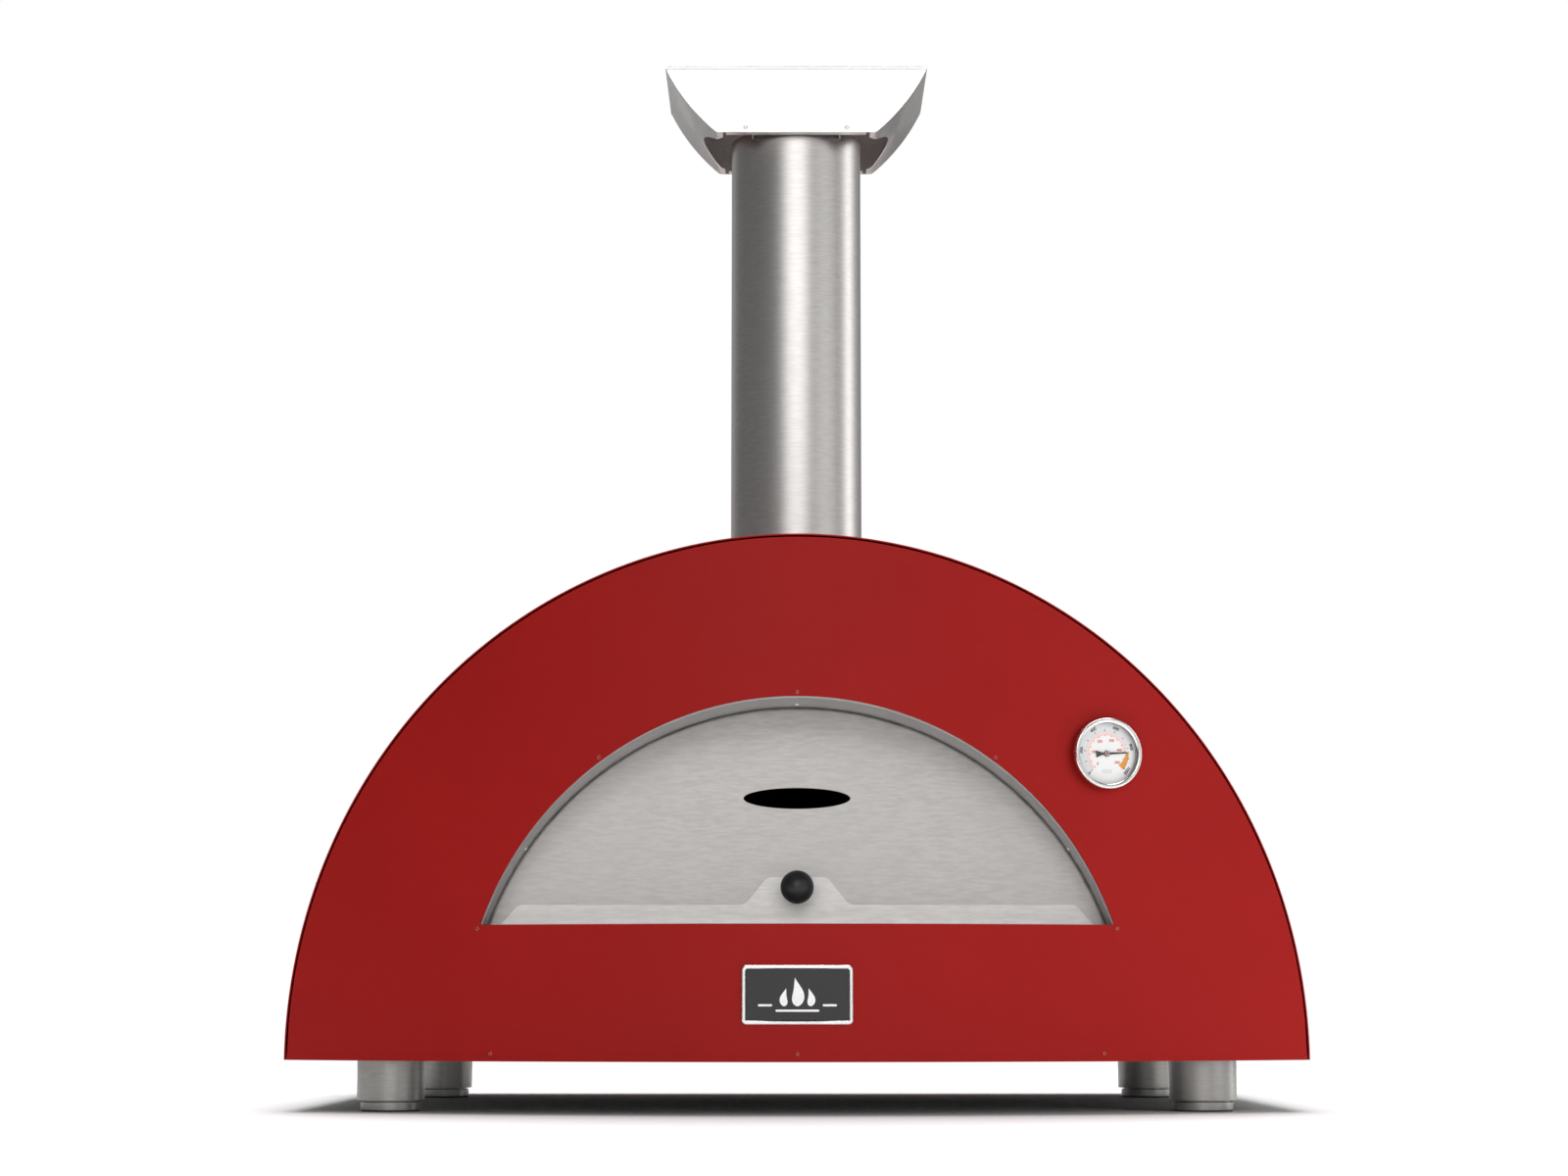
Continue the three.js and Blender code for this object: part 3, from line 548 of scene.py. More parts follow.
def enamel(name, colour, spread=0.06, roughness=(0.35, 0.45)):
    """Printed or stoved enamel, with a faint mottle."""
    dark = tuple(c * (1 - spread) for c in colour)
    return finish(name, (90, 3), (dark, colour), (200, *roughness, 2), (1600, 2, 0.04, 0.05 * MM))


def clear_glass():
    """A thin window: mostly clear, with a faint sheen that is not quite even."""
    n = Nodes("clear_glass")
    n.colour(n.mix(n.noise(50, 2), (0.93, 0.95, 0.95), (1.0, 1.0, 1.0)))
    n.rough(n.noise(120, 2), 0.02, 0.06)
    n.link(n.span(n.noise(35, 2), 0.015, 0.03), n.shader.inputs["Alpha"])
    n.bump(n.noise(60, 2), 0.02, 0.05 * MM)
    n.set(IOR=1.45)
    return n.material


STEEL = (0.62, 0.6, 0.585)
RED = red_paint()
RED_RIVET = red_rivet_paint()
DOOR_STEEL = brushed("door_steel", (0.54, 0.522, 0.508), (60, 60, 330), 0.3, (0.36, 0.46)).material
# painted light: the door's brushed steel made paler, so that the foot plate reads as lit from above
FOOT_STEEL_PAINTED_LIGHT = brushed("foot_steel_painted_light", (0.71, 0.69, 0.67), (60, 60, 330), 0.3, (0.36, 0.46)).material
REVEAL_STEEL = brushed("reveal_steel", (0.42, 0.415, 0.41), (60, 700, 60), 0.08, contrast=0.04).material
PIPE_STEEL = around_z(brushed("pipe_steel", STEEL, (70, 70, 520), 0.3))
LEG_STEEL = around_z(brushed("leg_steel", (0.35, 0.345, 0.33), (60, 60, 600), 0.22))
# painted light: steel paler than real stainless, so that the cowl and its shaded inside read brightly lit
COWL_STEEL_PAINTED_LIGHT = brushed("cowl_steel_painted_light", (0.86, 0.85, 0.835), (24, 24, 700), 0.06).material
PLAIN = plain_steel()
SOOTY = sooty_steel()
DARK = dark_steel()
BRIGHT = bright_metal()
BRICK = firebrick()
FIBRE = fibre()
PLASTIC = black_plastic()
RUBBER = enamel("black_rubber", linear(26, 26, 27), 0.2, (0.7, 0.85))
WHITE = enamel("white_enamel", linear(253, 253, 252), 0.01)
BLACK = enamel("black_enamel", linear(40, 40, 40), 0.1)
INK_BLACK = enamel("black_ink", linear(16, 16, 18), 0.1)
INK_RED = enamel("red_ink", linear(214, 72, 62), 0.05)
INK_PINK = enamel("pink_ink", linear(252, 222, 219), 0.03)
INK_GREY = enamel("grey_ink", linear(236, 237, 238), 0.03)
INK_ORANGE = enamel("orange_ink", linear(240, 158, 30), 0.05)
GLASS = clear_glass()

# ---- casing


def column_xs(outer, inner, steps=160):
    """X places across an arch, closer together towards its feet, with those of the mouth's feet."""
    least = 1.2 * MM
    xs = [outer]
    for i in range(steps // 2):
        x = outer * cos(pi * i / steps)
        if xs[-1] - x > least and abs(x - inner) > least:
            xs.append(x)
    if inner:
        xs += [inner * cos(pi * i / 60) for i in range(12)]
    xs = sorted(x for x in set(xs) if x > least)
    return [-x for x in reversed(xs)] + [0.0] + xs


def arched_face(name, outer, outer_z, floor_z, hole, hole_z, hole_floor, y_of):
    """A half-round sheet with an arched hole, made of upright strips that follow a bowed face."""
    half = sqrt(outer ** 2 - (floor_z - outer_z) ** 2)
    foot = sqrt(hole ** 2 - (hole_floor - hole_z) ** 2)
    lower, upper = [], []
    for x in column_xs(half, foot):
        top = max(floor_z, arch_z(x, outer, outer_z))
        y = y_of(x)
        step_z = min(hole_floor, top)
        over = arch_z(x, hole, hole_z) if abs(x) < foot else hole_floor
        over = min(max(over, hole_floor), top)
        lower.append([Vector((x, y, floor_z)), Vector((x, y, step_z))])
        upper.append([Vector((x, y, over)), Vector((x, y, top))])
    bottom = grid(name + "_a", lower)
    crown = grid(name + "_b", upper)
    obj = join(name, [bottom, crown])
    edit(obj, clean)
    return obj


def outer_rim(bm, floor_z, radius):
    """Boundary edges along the arch and along the floor."""
    edges = []
    for e in bm.edges:
        if not e.is_boundary:
            continue
        on_floor = all(abs(v.co.z - floor_z) < 1e-5 for v in e.verts)
        on_arch = all(abs(sqrt(v.co.x ** 2 + (v.co.z - BASE_Z) ** 2) - radius) < 2e-4 for v in e.verts)
        if on_floor or on_arch:
            edges.append(e)
    return edges


def fold_rim(obj, radius, depth):
    """Folds a rim back from a panel's arched and lower edges."""

    def change(bm):
        edges = outer_rim(bm, BASE_Z, radius)
        made = bmesh.ops.extrude_edge_only(bm, edges=edges)
        moved = [v for v in made["geom"] if isinstance(v, bmesh.types.BMVert)]
        bmesh.ops.translate(bm, vec=(0, depth, 0), verts=moved)
        clean(bm)

    edit(obj, change)
    return obj


def front_panel():
    obj = arched_face("front_panel_sheet", PANEL_R, BASE_Z, BASE_Z, MOUTH_R, MOUTH_Z, SILL_Z, bow_y)
    fold_rim(obj, PANEL_R, RIM_DEPTH)
    thicken(obj, SHEET, faces_front, even=False)
    put(soften(obj, 0.25 * MM), "red_paint", RED, "front_panel")


def rear_panel():
    tops = [(x, max(BASE_Z, arch_z(x, PANEL_R, BASE_Z))) for x in column_xs(PANEL_R, 0.0)]
    rows = [[Vector((x, REAR_FACE_Y, BASE_Z)), Vector((x, REAR_FACE_Y, top))] for x, top in tops]
    obj = grid("rear_panel_sheet", rows)
    fold_rim(obj, PANEL_R, -RIM_DEPTH)
    thicken(obj, SHEET, faces_back, even=False)
    put(soften(obj, 0.25 * MM), "red_paint", RED, "rear_panel")


def shell():
    """The arched wrapper; its front edge follows the bow and stands just proud of the shadow gap."""
    rows = []
    steps = 200
    for i in range(steps + 1):
        turn = pi * i / steps
        x = SHELL_R * cos(turn)
        z = BASE_Z + SHELL_R * sin(turn)
        front = bow_y(x)
        ys = [front, front + 4 * MM, front + 30 * MM, (front + REAR_Y) / 2, REAR_Y - 4 * MM, REAR_Y]
        rows.append([Vector((x, y, z)) for y in ys])
    obj = grid("outer_shell_sheet", rows)
    thicken(obj, SHEET, faces_up)
    put(soften(obj, 0.3 * MM), "red_paint", RED, "outer_shell")


# ---- mouth


def arch_sweep(name, radius, centre_z, floor_z, section, steps=140):
    """Sweeps a section round an arch; section(turn) lists (radial step outwards, y)."""
    start = asin((floor_z - centre_z) / radius)
    rows = []
    for i in range(steps + 1):
        turn = start + (pi - 2 * start) * i / steps
        row = []
        for out, y in section(turn):
            r = radius + out
            row.append(Vector((r * cos(turn), y, centre_z + r * sin(turn))))
        rows.append(row)
    return grid(name, rows)


def reveal():
    """The steel lining of the mouth, with its flange turned out behind the panel."""
    back = STOP_Y - GAP
    flange_width = 18 * MM

    def section(turn):
        behind = SHEET + GAP
        bend = 1.6 * MM
        front = bow_y(REVEAL_R * cos(turn), behind)
        steps = (flange_width, flange_width / 2, bend)
        flange = [(out, bow_y((REVEAL_R + out) * cos(turn), behind)) for out in steps]
        return flange + [(0.4 * MM, front + 0.4 * MM), (0, front + bend), (0, (front + back) / 2), (0, back)]

    obj = arch_sweep("reveal_sheet", REVEAL_R, MOUTH_Z, SILL_Z + GAP, section)
    thicken(obj, SHEET, faces_front)
    put(soften(obj, 0.2 * MM), "brushed_steel", REVEAL_STEEL, "mouth_reveal")


def sill():
    half = high("mouth_sill").x
    fold = 25 * MM
    rows = []
    steps = 90
    for i in range(steps + 1):
        x = -half + 2 * half * i / steps
        front = bow_y(x, SHEET + GAP)
        bend = 1.2 * MM
        row = [(front, SILL_Z - fold), (front, SILL_Z - bend), (front + 0.35 * MM, SILL_Z - 0.35 * MM),
               (front + bend, SILL_Z), (STOP_Y - GAP, SILL_Z)]
        rows.append([Vector((x, y, z)) for y, z in row])
    obj = grid("sill_sheet", rows)
    thicken(obj, SHEET, faces_front)
    put(soften(obj, 0.2 * MM), "brushed_steel", DOOR_STEEL, "mouth_sill")


def chamber():
    """The wall that the door closes against, its collar, the vault and the end wall."""
    stop = 18 * MM
    outer = CHAMBER_R + 10 * MM
    wall = arched_face("wall", outer, BASE_Z, BASE_Z + 5 * MM, MOUTH_R - stop, MOUTH_Z, SILL_Z,
                       lambda x: STOP_Y)
    thicken(wall, HEAVY_SHEET, faces_front)
    inner = MOUTH_R + 0.2 * MM
    start_y = low("chamber_front").y
    collar = arch_sweep("collar", inner, MOUTH_Z, SILL_Z + GAP, lambda turn: [(0, start_y), (0, STOP_Y)])
    thicken(collar, SHEET, faces_down)
    put(soften(join("chamber_front_wall", [wall, collar]), 0.3 * MM),
        "plain_steel", PLAIN, "chamber_front")
    y0, y1 = low("chamber_dome").y, high("chamber_dome").y
    floor_z = low("chamber_dome").z
    vault = arch_sweep("chamber_vault", CHAMBER_R, BASE_Z, floor_z, lambda turn: [(0, y0), (0, y1)])
    thicken(vault, HEAVY_SHEET, faces_up)
    put(soften(vault, 0.3 * MM), "plain_steel", SOOTY, "chamber_dome")
    keep("chamber_rear", SOOTY, 0.3 * MM)


def floor_tiles():
    """Firebrick slabs with rubbed arrises."""
    for i in range(1, 5):
        node = f"floor_tile_{i}"
        tile = block(f"firebrick_slab_{i}", low(node), high(node))

        def crumble(bm):
            bmesh.ops.bevel(bm, geom=bm.edges[:], offset=2.2 * MM, segments=3, affect="EDGES")
            bmesh.ops.subdivide_edges(bm, edges=bm.edges[:], cuts=5, use_grid_fill=True)
            for v in bm.verts:
                rough = noise.noise(v.co * 60 + Vector((i, 0, 0))) * 0.35 * MM
                v.co += (middle(node) - v.co).normalized() * max(0.0, rough)

        edit(tile, crumble)
        shade_smooth(tile.data, 40)
        put(tile, "firebrick", BRICK, node)


# ---- door


def door_panel():
    radius = high("door_panel").z - MOUTH_Z
    floor_z = low("door_panel").z
    start = asin((floor_z - MOUTH_Z) / radius)
    outline = arc(0, MOUTH_Z, radius, start, pi - start, 160)
    slot_z = 0.3395
    slot_half = (58.5 * MM, 11.5 * MM)
    turns = (2 * pi * i / 72 for i in range(72))
    slot = [(slot_half[0] * cos(t), slot_z + slot_half[1] * sin(t)) for t in turns]
    face = plate("door_face", [outline, slot], DOOR_Y, DOOR_Y + SHEET)
    soften(face, 0.45 * MM, 3)
    hem = arch_sweep("door_hem", radius - 0.2 * MM, MOUTH_Z, floor_z + 0.2 * MM,
                     lambda turn: [(0, DOOR_Y + SHEET), (0, high("door_panel").y)])
    thicken(hem, SHEET, faces_up)
    put(join("door_sheet", [face, hem]), "brushed_steel", DOOR_STEEL, "door_panel", body="door")


def door_foot():
    """The folded plate that the door stands on, with the tab behind the knob; its steel is painted paler
    than the door's, as painted light from above.
    """
    bottom = low("door_foot").z
    top = bottom + 23 * MM
    half = high("door_foot").x
    tab = high("door_foot").z
    slant = 20 * MM
    tab_foot = 57 * MM
    tab_half = 33 * MM
    right = [(half, bottom), (half - slant, top), (tab_foot, top), (tab_half, tab)]
    left = [(-x, z) for x, z in reversed(right)]
    outline = right + left
    outline = [outline[0]] + rounded(outline, 6 * MM)[5:-5] + [outline[-1]]
    back = DOOR_Y - GAP
    upright = plate("foot_upright", [outline], back - SHEET, back)
    soften(upright, 0.4 * MM, 3)
    end = half - 6 * MM
    tongue = block("foot_tongue", (-end, low("door_foot").y, bottom), (end, back, bottom + SHEET))
    soften(tongue, 0.4 * MM, 3)
    sheet = join("door_foot_sheet", [upright, tongue])
    put(sheet, "brushed_steel", FOOT_STEEL_PAINTED_LIGHT, "door_foot", body="door")


def door_knob():
    lo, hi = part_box("door_knob")
    radius = hi.x
    z = (lo.z + hi.z) / 2
    centre_y = lo.y + radius
    flat = (hi.y - centre_y) / radius
    steps = 28
    profile = [(0, -radius * flat)]
    first = pi - acos(flat)
    for i in range(steps + 1):
        angle = first * (1 - i / steps)
        profile.append((radius * sin(angle), radius * cos(angle)))
    ball = turned("knob_ball", profile, 64, facing_front(0, centre_y, z))
    put(soften(ball, 1.2 * MM, 4, 50), "black_plastic", PLASTIC, "door_knob", body="door")
    length = high("knob_spacer").y - low("knob_spacer").y
    sleeve = ring_profile(4.3 * MM, 7 * MM, 0, length)
    spacer = turned("knob_sleeve", sleeve, 48, facing_front(0, high("knob_spacer").y, z))
    put(soften(spacer, 0.4 * MM), "plain_steel", PLAIN, "knob_spacer", body="door")
    keep("knob_bolt", PLAIN, 0.3 * MM)


# ---- flue and cowl


def at_flue(z=0.0):
    return Matrix.Translation((0, FLUE_Y, z))


def flue():
    bottom, top = low("flue_pipe").z, high("flue_pipe").z
    inner = FLUE_R - SHEET
    heights = [bottom + (top - bottom) * i / 24 for i in range(25)]
    profile = [(FLUE_R, z) for z in heights] + [(inner, z) for z in reversed(heights)]
    profile.append(profile[0])
    pipe = turned("flue_tube", profile, 144, at_flue())
    put(soften(pipe, 0.3 * MM), "brushed_steel", PIPE_STEEL, "flue_pipe")
    keep("flue_spigot", SOOTY)


def collar():
    """A saddle that follows the arch of the shell, drawn up into a sleeve round the flue."""
    rim = high("flue_collar").x
    top = high("flue_collar").z - TOP_Z
    sleeve = FLUE_R + GAP
    rows = []
    steps = 120
    foot = 9 * MM
    curve = 8 * MM
    section = [(rim, 0.0), (sleeve + foot, 0.0)]
    turns = [pi * k / 12 for k in range(1, 5)]
    section += [(sleeve + foot - curve * sin(t), curve * (1 - cos(t))) for t in turns]
    section += [(sleeve, foot), (sleeve, top)]
    for i in range(steps):
        turn = 2 * pi * i / steps
        row = []
        for r, up in section:
            x = r * cos(turn)
            ground = arch_z(x, SHELL_R + GAP, BASE_Z)
            z = ground + up if up < top else TOP_Z + top
            row.append(Vector((x, FLUE_Y + r * sin(turn), z)))
        rows.append(row)
    obj = grid("flue_saddle", rows, closed=True)
    thicken(obj, SHEET, faces_up, outward=True)
    put(soften(obj, 0.3 * MM), "brushed_steel", PIPE_STEEL, "flue_collar")


COWL_W = high("cowl_lid").x
COWL_TOP = high("cowl_lid").z
COWL_BOTTOM = low("cowl_front").z
COWL_FOOT = 0.091
COWL_SHEET = 1.2 * MM
COWL_FRONT = low("cowl_front").y
COWL_BACK = high("cowl_back").y
COWL_BULGE = 5.2 * MM  # of the curved sides, off a straight line from top to bottom
COWL_LIP = 7 * MM  # turned in at the bottom of each side
COWL_FOLD_X = 0.08  # half width of the fold at the bottom of each end
COWL_FOLD_Y = 12 * MM
BITE_R = 0.108
COWL_LID_Z = COWL_TOP - COWL_SHEET - GAP


def cowl_side_curve(steps=40):
    """Points down the cowl's right side, from the lid to the turned-in edge."""
    top = Vector((COWL_W, COWL_LID_Z))
    bottom = Vector((COWL_FOOT, COWL_BOTTOM))
    chord = (top - bottom).length
    radius = (chord ** 2 / 4 + COWL_BULGE ** 2) / (2 * COWL_BULGE)
    along = (top - bottom).normalized()
    centre = (top + bottom) / 2 + Vector((-along.y, along.x)) * (radius - COWL_BULGE)
    start = atan2(top.y - centre.y, top.x - centre.x)
    end = atan2(bottom.y - centre.y, bottom.x - centre.x)
    points = arc(centre.x, centre.y, radius, start, end, steps)
    corner = points[-1]
    near = [p for p in points if (Vector(p) - Vector(corner)).length > COWL_LIP]
    lip_end = (COWL_FOOT - COWL_LIP, COWL_BOTTOM)
    turn_in = rounded([near[-1], corner, lip_end], 9 * MM, 8, closed=False)
    return near[:-1] + turn_in


def cowl_ends():
    side = cowl_side_curve()[:-1]
    outline = side + [(-x, z) for x, z in reversed(side)]
    ends = (("cowl_prow", "cowl_front", COWL_FRONT, 1), ("cowl_stern", "cowl_back", COWL_BACK, -1))
    for name, node, y, inward in ends:
        y0, y1 = sorted((y, y + inward * COWL_SHEET))
        face = plate(name + "_a", [outline], y0, y1)
        soften(face, 0.35 * MM)
        f0, f1 = sorted((y + inward * 0.2 * MM, y + inward * COWL_FOLD_Y))
        corners = (-COWL_FOLD_X, f0, COWL_BOTTOM), (COWL_FOLD_X, f1, COWL_BOTTOM + COWL_SHEET)
        fold = block(name + "_b", *corners)
        soften(fold, 0.35 * MM)
        put(join(name, [face, fold]), "brushed_steel", COWL_STEEL_PAINTED_LIGHT, node)


def cowl_sides():
    """The bent side sheets, with a round bite that lets the smoke out beside the flue."""
    inset = COWL_SHEET + GAP
    y0, y1 = COWL_FRONT + inset, COWL_BACK - inset
    for side, name in ((1, "right"), (-1, "left")):
        front_rows, back_rows = [], []
        points = cowl_side_curve(90)
        for x, z in points:
            half = sqrt(max(0.0, BITE_R ** 2 - x * x))
            near = min(max(FLUE_Y - half, y0), FLUE_Y)
            far = max(min(FLUE_Y + half, y1), FLUE_Y)
            front_rows.append([Vector((side * x, y0, z)), Vector((side * x, near, z))])
            back_rows.append([Vector((side * x, far, z)), Vector((side * x, y1, z))])
        obj = join(f"cowl_flank_{name}", [grid("f", front_rows), grid("b", back_rows)])
        edit(obj, clean)
        thicken(obj, COWL_SHEET, faces_down)
        put(soften(obj, 0.25 * MM), "brushed_steel", COWL_STEEL_PAINTED_LIGHT, f"cowl_side_{name}")


def cowl_lid():
    """A flat lid with its long edges turned down over the cowl's ends."""
    lo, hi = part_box("cowl_lid")
    lip = hi.z - lo.z
    bend = 1.0 * MM
    section = [(lo.y, hi.z - lip), (lo.y, hi.z - bend)]
    section += [(lo.y + 0.3 * MM, hi.z - 0.3 * MM), (lo.y + bend, hi.z), (FLUE_Y, hi.z)]
    section += [(2 * FLUE_Y - y, z) for y, z in reversed(section[:-1])]
    rows = [[Vector((x, y, z)) for y, z in section] for x in (lo.x, lo.x / 2, 0, hi.x / 2, hi.x)]
    obj = grid("cowl_cover", rows)
    thicken(obj, COWL_SHEET, faces_up)
    put(soften(obj, 0.25 * MM), "brushed_steel", COWL_STEEL_PAINTED_LIGHT, "cowl_lid")


# ---- legs


def legs():
    for place in ("front_left", "front_right", "rear_left", "rear_right"):
        lo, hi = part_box(f"leg_{place}")
        centre = middle(f"leg_{place}")
        move = Matrix.Translation((centre.x, centre.y, 0))
        r = (hi.x - lo.x) / 2
        bore = r - HEAVY_SHEET
        under = hi.z - HEAVY_SHEET
        tube = [(0, under), (bore, under), (bore, lo.z), (r, lo.z), (r, hi.z), (0, hi.z)]
        piece = turned(f"leg_tube_{place}", tube, 96, move)
        put(soften(piece, 0.5 * MM, 3), "brushed_steel", LEG_STEEL, f"leg_{place}")
        foot_top = lo.z - SHEET
        foot_r = 33 * MM
        neck_r = foot_r - 3 * MM
        plug_r = bore - GAP
        plug_from = lo.z + 2 * MM
        plug_to = lo.z + 20 * MM
        pad = 1.6 * MM
        cap = [(0, pad), (foot_r, pad), (foot_r, foot_top), (neck_r, foot_top), (neck_r, plug_from)]
        cap += [(plug_r, plug_from), (plug_r, plug_to), (0, plug_to)]
        foot = turned(f"foot_cap_{place}", cap, 96, move)
        put(soften(foot, 0.5 * MM, 3), "brushed_steel", LEG_STEEL, f"foot_{place}")
        pad_r = foot_r - MM
        profile = [(0, 0), (pad_r, 0), (pad_r, pad), (0, pad)]
        base = turned(f"foot_pad_{place}", profile, 96, move)
        put(soften(base, 0.3 * MM), "brushed_steel", RUBBER)


# ---- screws


def screw(name, point, direction, radius, material, slot, nodes=(), sink=0.0):
    """A low button head with a hexagon socket."""
    height = radius * 0.5
    socket = radius * 0.42
    deep = height * 0.35
    profile = [(0, deep), (socket, deep), (socket, height)]
    wide = radius - socket
    turns = [pi * k / 12 for k in range(1, 6)]
    profile += [(socket + wide * sin(t), height * cos(t)) for t in turns]
    profile += [(radius, 0), (0, 0)]
    turn = Vector((0, 0, 1)).rotation_difference(Vector(direction)).to_matrix().to_4x4()
    place = Matrix.Translation(Vector(point) - Vector(direction) * sink) @ turn
    head = turned(name, list(reversed(profile)), 36, place)
    put(soften(head, radius * 0.05, 2, 40), slot, material, *nodes)


def bow_normal(x):
    return Vector((x / BOW_R, -sqrt(1 - (x / BOW_R) ** 2), 0))


def red_rivet(name, point, direction, *nodes, sink=0.0):
    screw(name, point, direction, RIVET_R, RED_RIVET, "red_paint", nodes, sink)


def front_rivets():
    """Rivets on the bowed panel: along its lower edge, over the mouth and beside the sill."""
    for i, x in enumerate((-0.326, 0.0, 0.326)):
        node = f"panel_screw_{i + 1}"
        red_rivet(f"panel_rivet_{i + 1}", (x, bow_y(x), 0.0644), bow_normal(x), node)
    edge = MOUTH_R + 4.2 * MM
    for i, turn in enumerate((54.3, 90, 125.7)):
        x = edge * cos(radians(turn))
        z = MOUTH_Z + edge * sin(radians(turn))
        red_rivet(f"mouth_rivet_{i + 1}", (x, bow_y(x), z), bow_normal(x))
    for i, x in enumerate((-0.342, 0.342)):
        red_rivet(f"sill_rivet_{i + 1}", (x, bow_y(x), SILL_Z - 4 * MM), bow_normal(x))


def shell_rivets():
    """Rivets through the shell's front edge into the panel's rim."""
    for i, turn in enumerate((20, 55, 90, 125, 160)):
        direction = Vector((cos(radians(turn)), 0, sin(radians(turn))))
        x = SHELL_R * direction.x
        point = (x, bow_y(x) + 9 * MM, BASE_Z + SHELL_R * direction.z)
        red_rivet(f"shell_rivet_{i + 1}", point, direction)


def rear_rivets():
    """Rivets round the rear panel's arch and along its lower edge."""
    radius = PANEL_R - 14 * MM
    for i, turn in enumerate((32, 61, 90, 119, 148)):
        point = (radius * cos(radians(turn)), REAR_FACE_Y, BASE_Z + radius * sin(radians(turn)))
        red_rivet(f"rear_rivet_{i + 1}", point, (0, 1, 0), sink=REAR_SINK)
    for i, x in enumerate((-0.42, -0.14, 0.14, 0.42)):
        point = (x, REAR_FACE_Y, BASE_Z + 9 * MM)
        red_rivet(f"rear_edge_rivet_{i + 1}", point, (0, 1, 0), sink=REAR_SINK)


def reveal_buttons():
    for i in range(1, 4):
        node = f"reveal_screw_{i}"
        turn = radians(90 + (i - 2) * 55.7)
        direction = Vector((-cos(turn), 0, -sin(turn)))
        point = (REVEAL_R * cos(turn), middle(node).y, MOUTH_Z + REVEAL_R * sin(turn))
        screw(f"reveal_button_{i}", point, direction, 3.0 * MM, BRIGHT, "plain_steel", (node,))


def cowl_buttons():
    for end, y, direction in (("front", COWL_FRONT, (0, -1, 0)), ("back", COWL_BACK, (0, 1, 0))):
        for side in ("left", "right"):
            node = f"cowl_screw_{end}_{side}"
            point = (middle(node).x, y, middle(node).z)
            name = f"cowl_button_{end}_{side}"
            screw(name, point, direction, RIVET_R, COWL_STEEL_PAINTED_LIGHT, "brushed_steel", (node,))


# ---- thermometer

GAUGE_X = 0.3311
GAUGE_Z = 0.383
GAUGE_PLACE = (
    Matrix.Translation((GAUGE_X, bow_y(GAUGE_X), GAUGE_Z))
    @ Matrix.Rotation(asin(GAUGE_X / BOW_R), 4, "Z")
    @ Matrix.Rotation(pi / 2, 4, "X")
)
DIAL_Z = 5.3 * MM  # face of the dial, out from the panel
CASE_R = 36 * MM
CASE_TOP = 11 * MM
CASE_WALL = 1 * MM
SPINDLE_HOLE = 1.8 * MM
SCALE_START = 227.0  # degrees, anticlockwise from the right
SCALE_END = -38.0


def scale_turn(share):
    return radians(SCALE_START + (SCALE_END - SCALE_START) * share)


def gauge_mesh(name, profile, steps=128):
    return turned(name, profile, steps, GAUGE_PLACE)


def gauge_piece(name, profile, bevel, slot, material, *nodes):
    put(soften(gauge_mesh(name, profile), bevel), slot, material, *nodes)


def gauge_body():
    inner = CASE_R - CASE_WALL
    floor = 1.5 * MM
    case = [(SPINDLE_HOLE, GAP), (CASE_R, GAP), (CASE_R, CASE_TOP), (inner, CASE_TOP), (inner, floor),
            (SPINDLE_HOLE, floor), (SPINDLE_HOLE, GAP)]
    gauge_piece("thermometer_case", case, 0.2 * MM, "brushed_steel", DARK, "gauge_case")
    fit = CASE_R + GAP
    rim = 38.3 * MM
    foot = 6 * MM
    shoulder = 10.6 * MM
    round_x, round_z = 2.2 * MM, 2.4 * MM
    bezel = [(fit, foot), (rim, foot), (rim, shoulder)]
    turns = [pi * k / 16 for k in range(1, 9)]
    bezel += [(rim - round_x * (1 - cos(t)), shoulder + round_z * sin(t)) for t in turns]
    step = 11.4 * MM
    bezel += [(35.3 * MM, 13 * MM), (34.2 * MM, 12.6 * MM), (33 * MM, step), (fit, step), (fit, foot)]
    gauge_piece("thermometer_bezel", bezel, 0.15 * MM, "brushed_steel", BRIGHT, "gauge_bezel")
    back = DIAL_Z - 0.8 * MM
    dial_r = 34.6 * MM
    face = ring_profile(SPINDLE_HOLE, dial_r, back, DIAL_Z)
    gauge_piece("thermometer_dial", face, 0.1 * MM, "white_enamel", WHITE, "gauge_dial")
    lens_r = 34.7 * MM
    under = 9.4 * MM
    lens = [(0, under), (lens_r, under), (lens_r, 10.8 * MM), (24 * MM, 11.0 * MM), (0, 11.1 * MM)]
    gauge_piece("thermometer_lens", lens, 0.1 * MM, "clear_glass", GLASS, "gauge_glass")
    keep("gauge_stem", PLAIN)
    keep("gauge_nut", PLAIN, 0.3 * MM)


def sector(name, inner, outer, start, end, material, lift=0.05 * MM, steps=64):
    """A thin printed band on the dial."""
    rows = []
    for i in range(steps + 1):
        turn = start + (end - start) * i / steps
        rows.append([Vector((r * cos(turn), r * sin(turn), DIAL_Z + lift)) for r in (inner, outer)])
    obj = grid(name, rows)
    obj.data.transform(GAUGE_PLACE)
    thicken(obj, 0.04 * MM, outward=True)
    return put(obj, "white_enamel", material)


def marks(name, shares, inner, outer, width, material):
    """Tick marks as one printed piece."""
    verts, faces = [], []
    for share in shares:
        turn = scale_turn(share)
        along = Vector((cos(turn), sin(turn), 0))
        across = Vector((-sin(turn), cos(turn), 0)) * width / 2
        for z in (DIAL_Z + 0.04 * MM, DIAL_Z + 0.1 * MM):
            up = Vector((0, 0, z))
            verts += [along * inner - across + up, along * inner + across + up,
                      along * outer + across + up, along * outer - across + up]
        b = len(verts) - 8
        faces += [(b, b + 1, b + 2, b + 3), (b + 4, b + 7, b + 6, b + 5)]
        faces += [(b + k, b + 4 + k, b + 4 + (k + 1) % 4, b + (k + 1) % 4) for k in range(4)]
    obj = from_faces(name, verts, faces)
    edit(obj, clean)
    obj.data.transform(GAUGE_PLACE)
    return put(obj, "white_enamel", material)


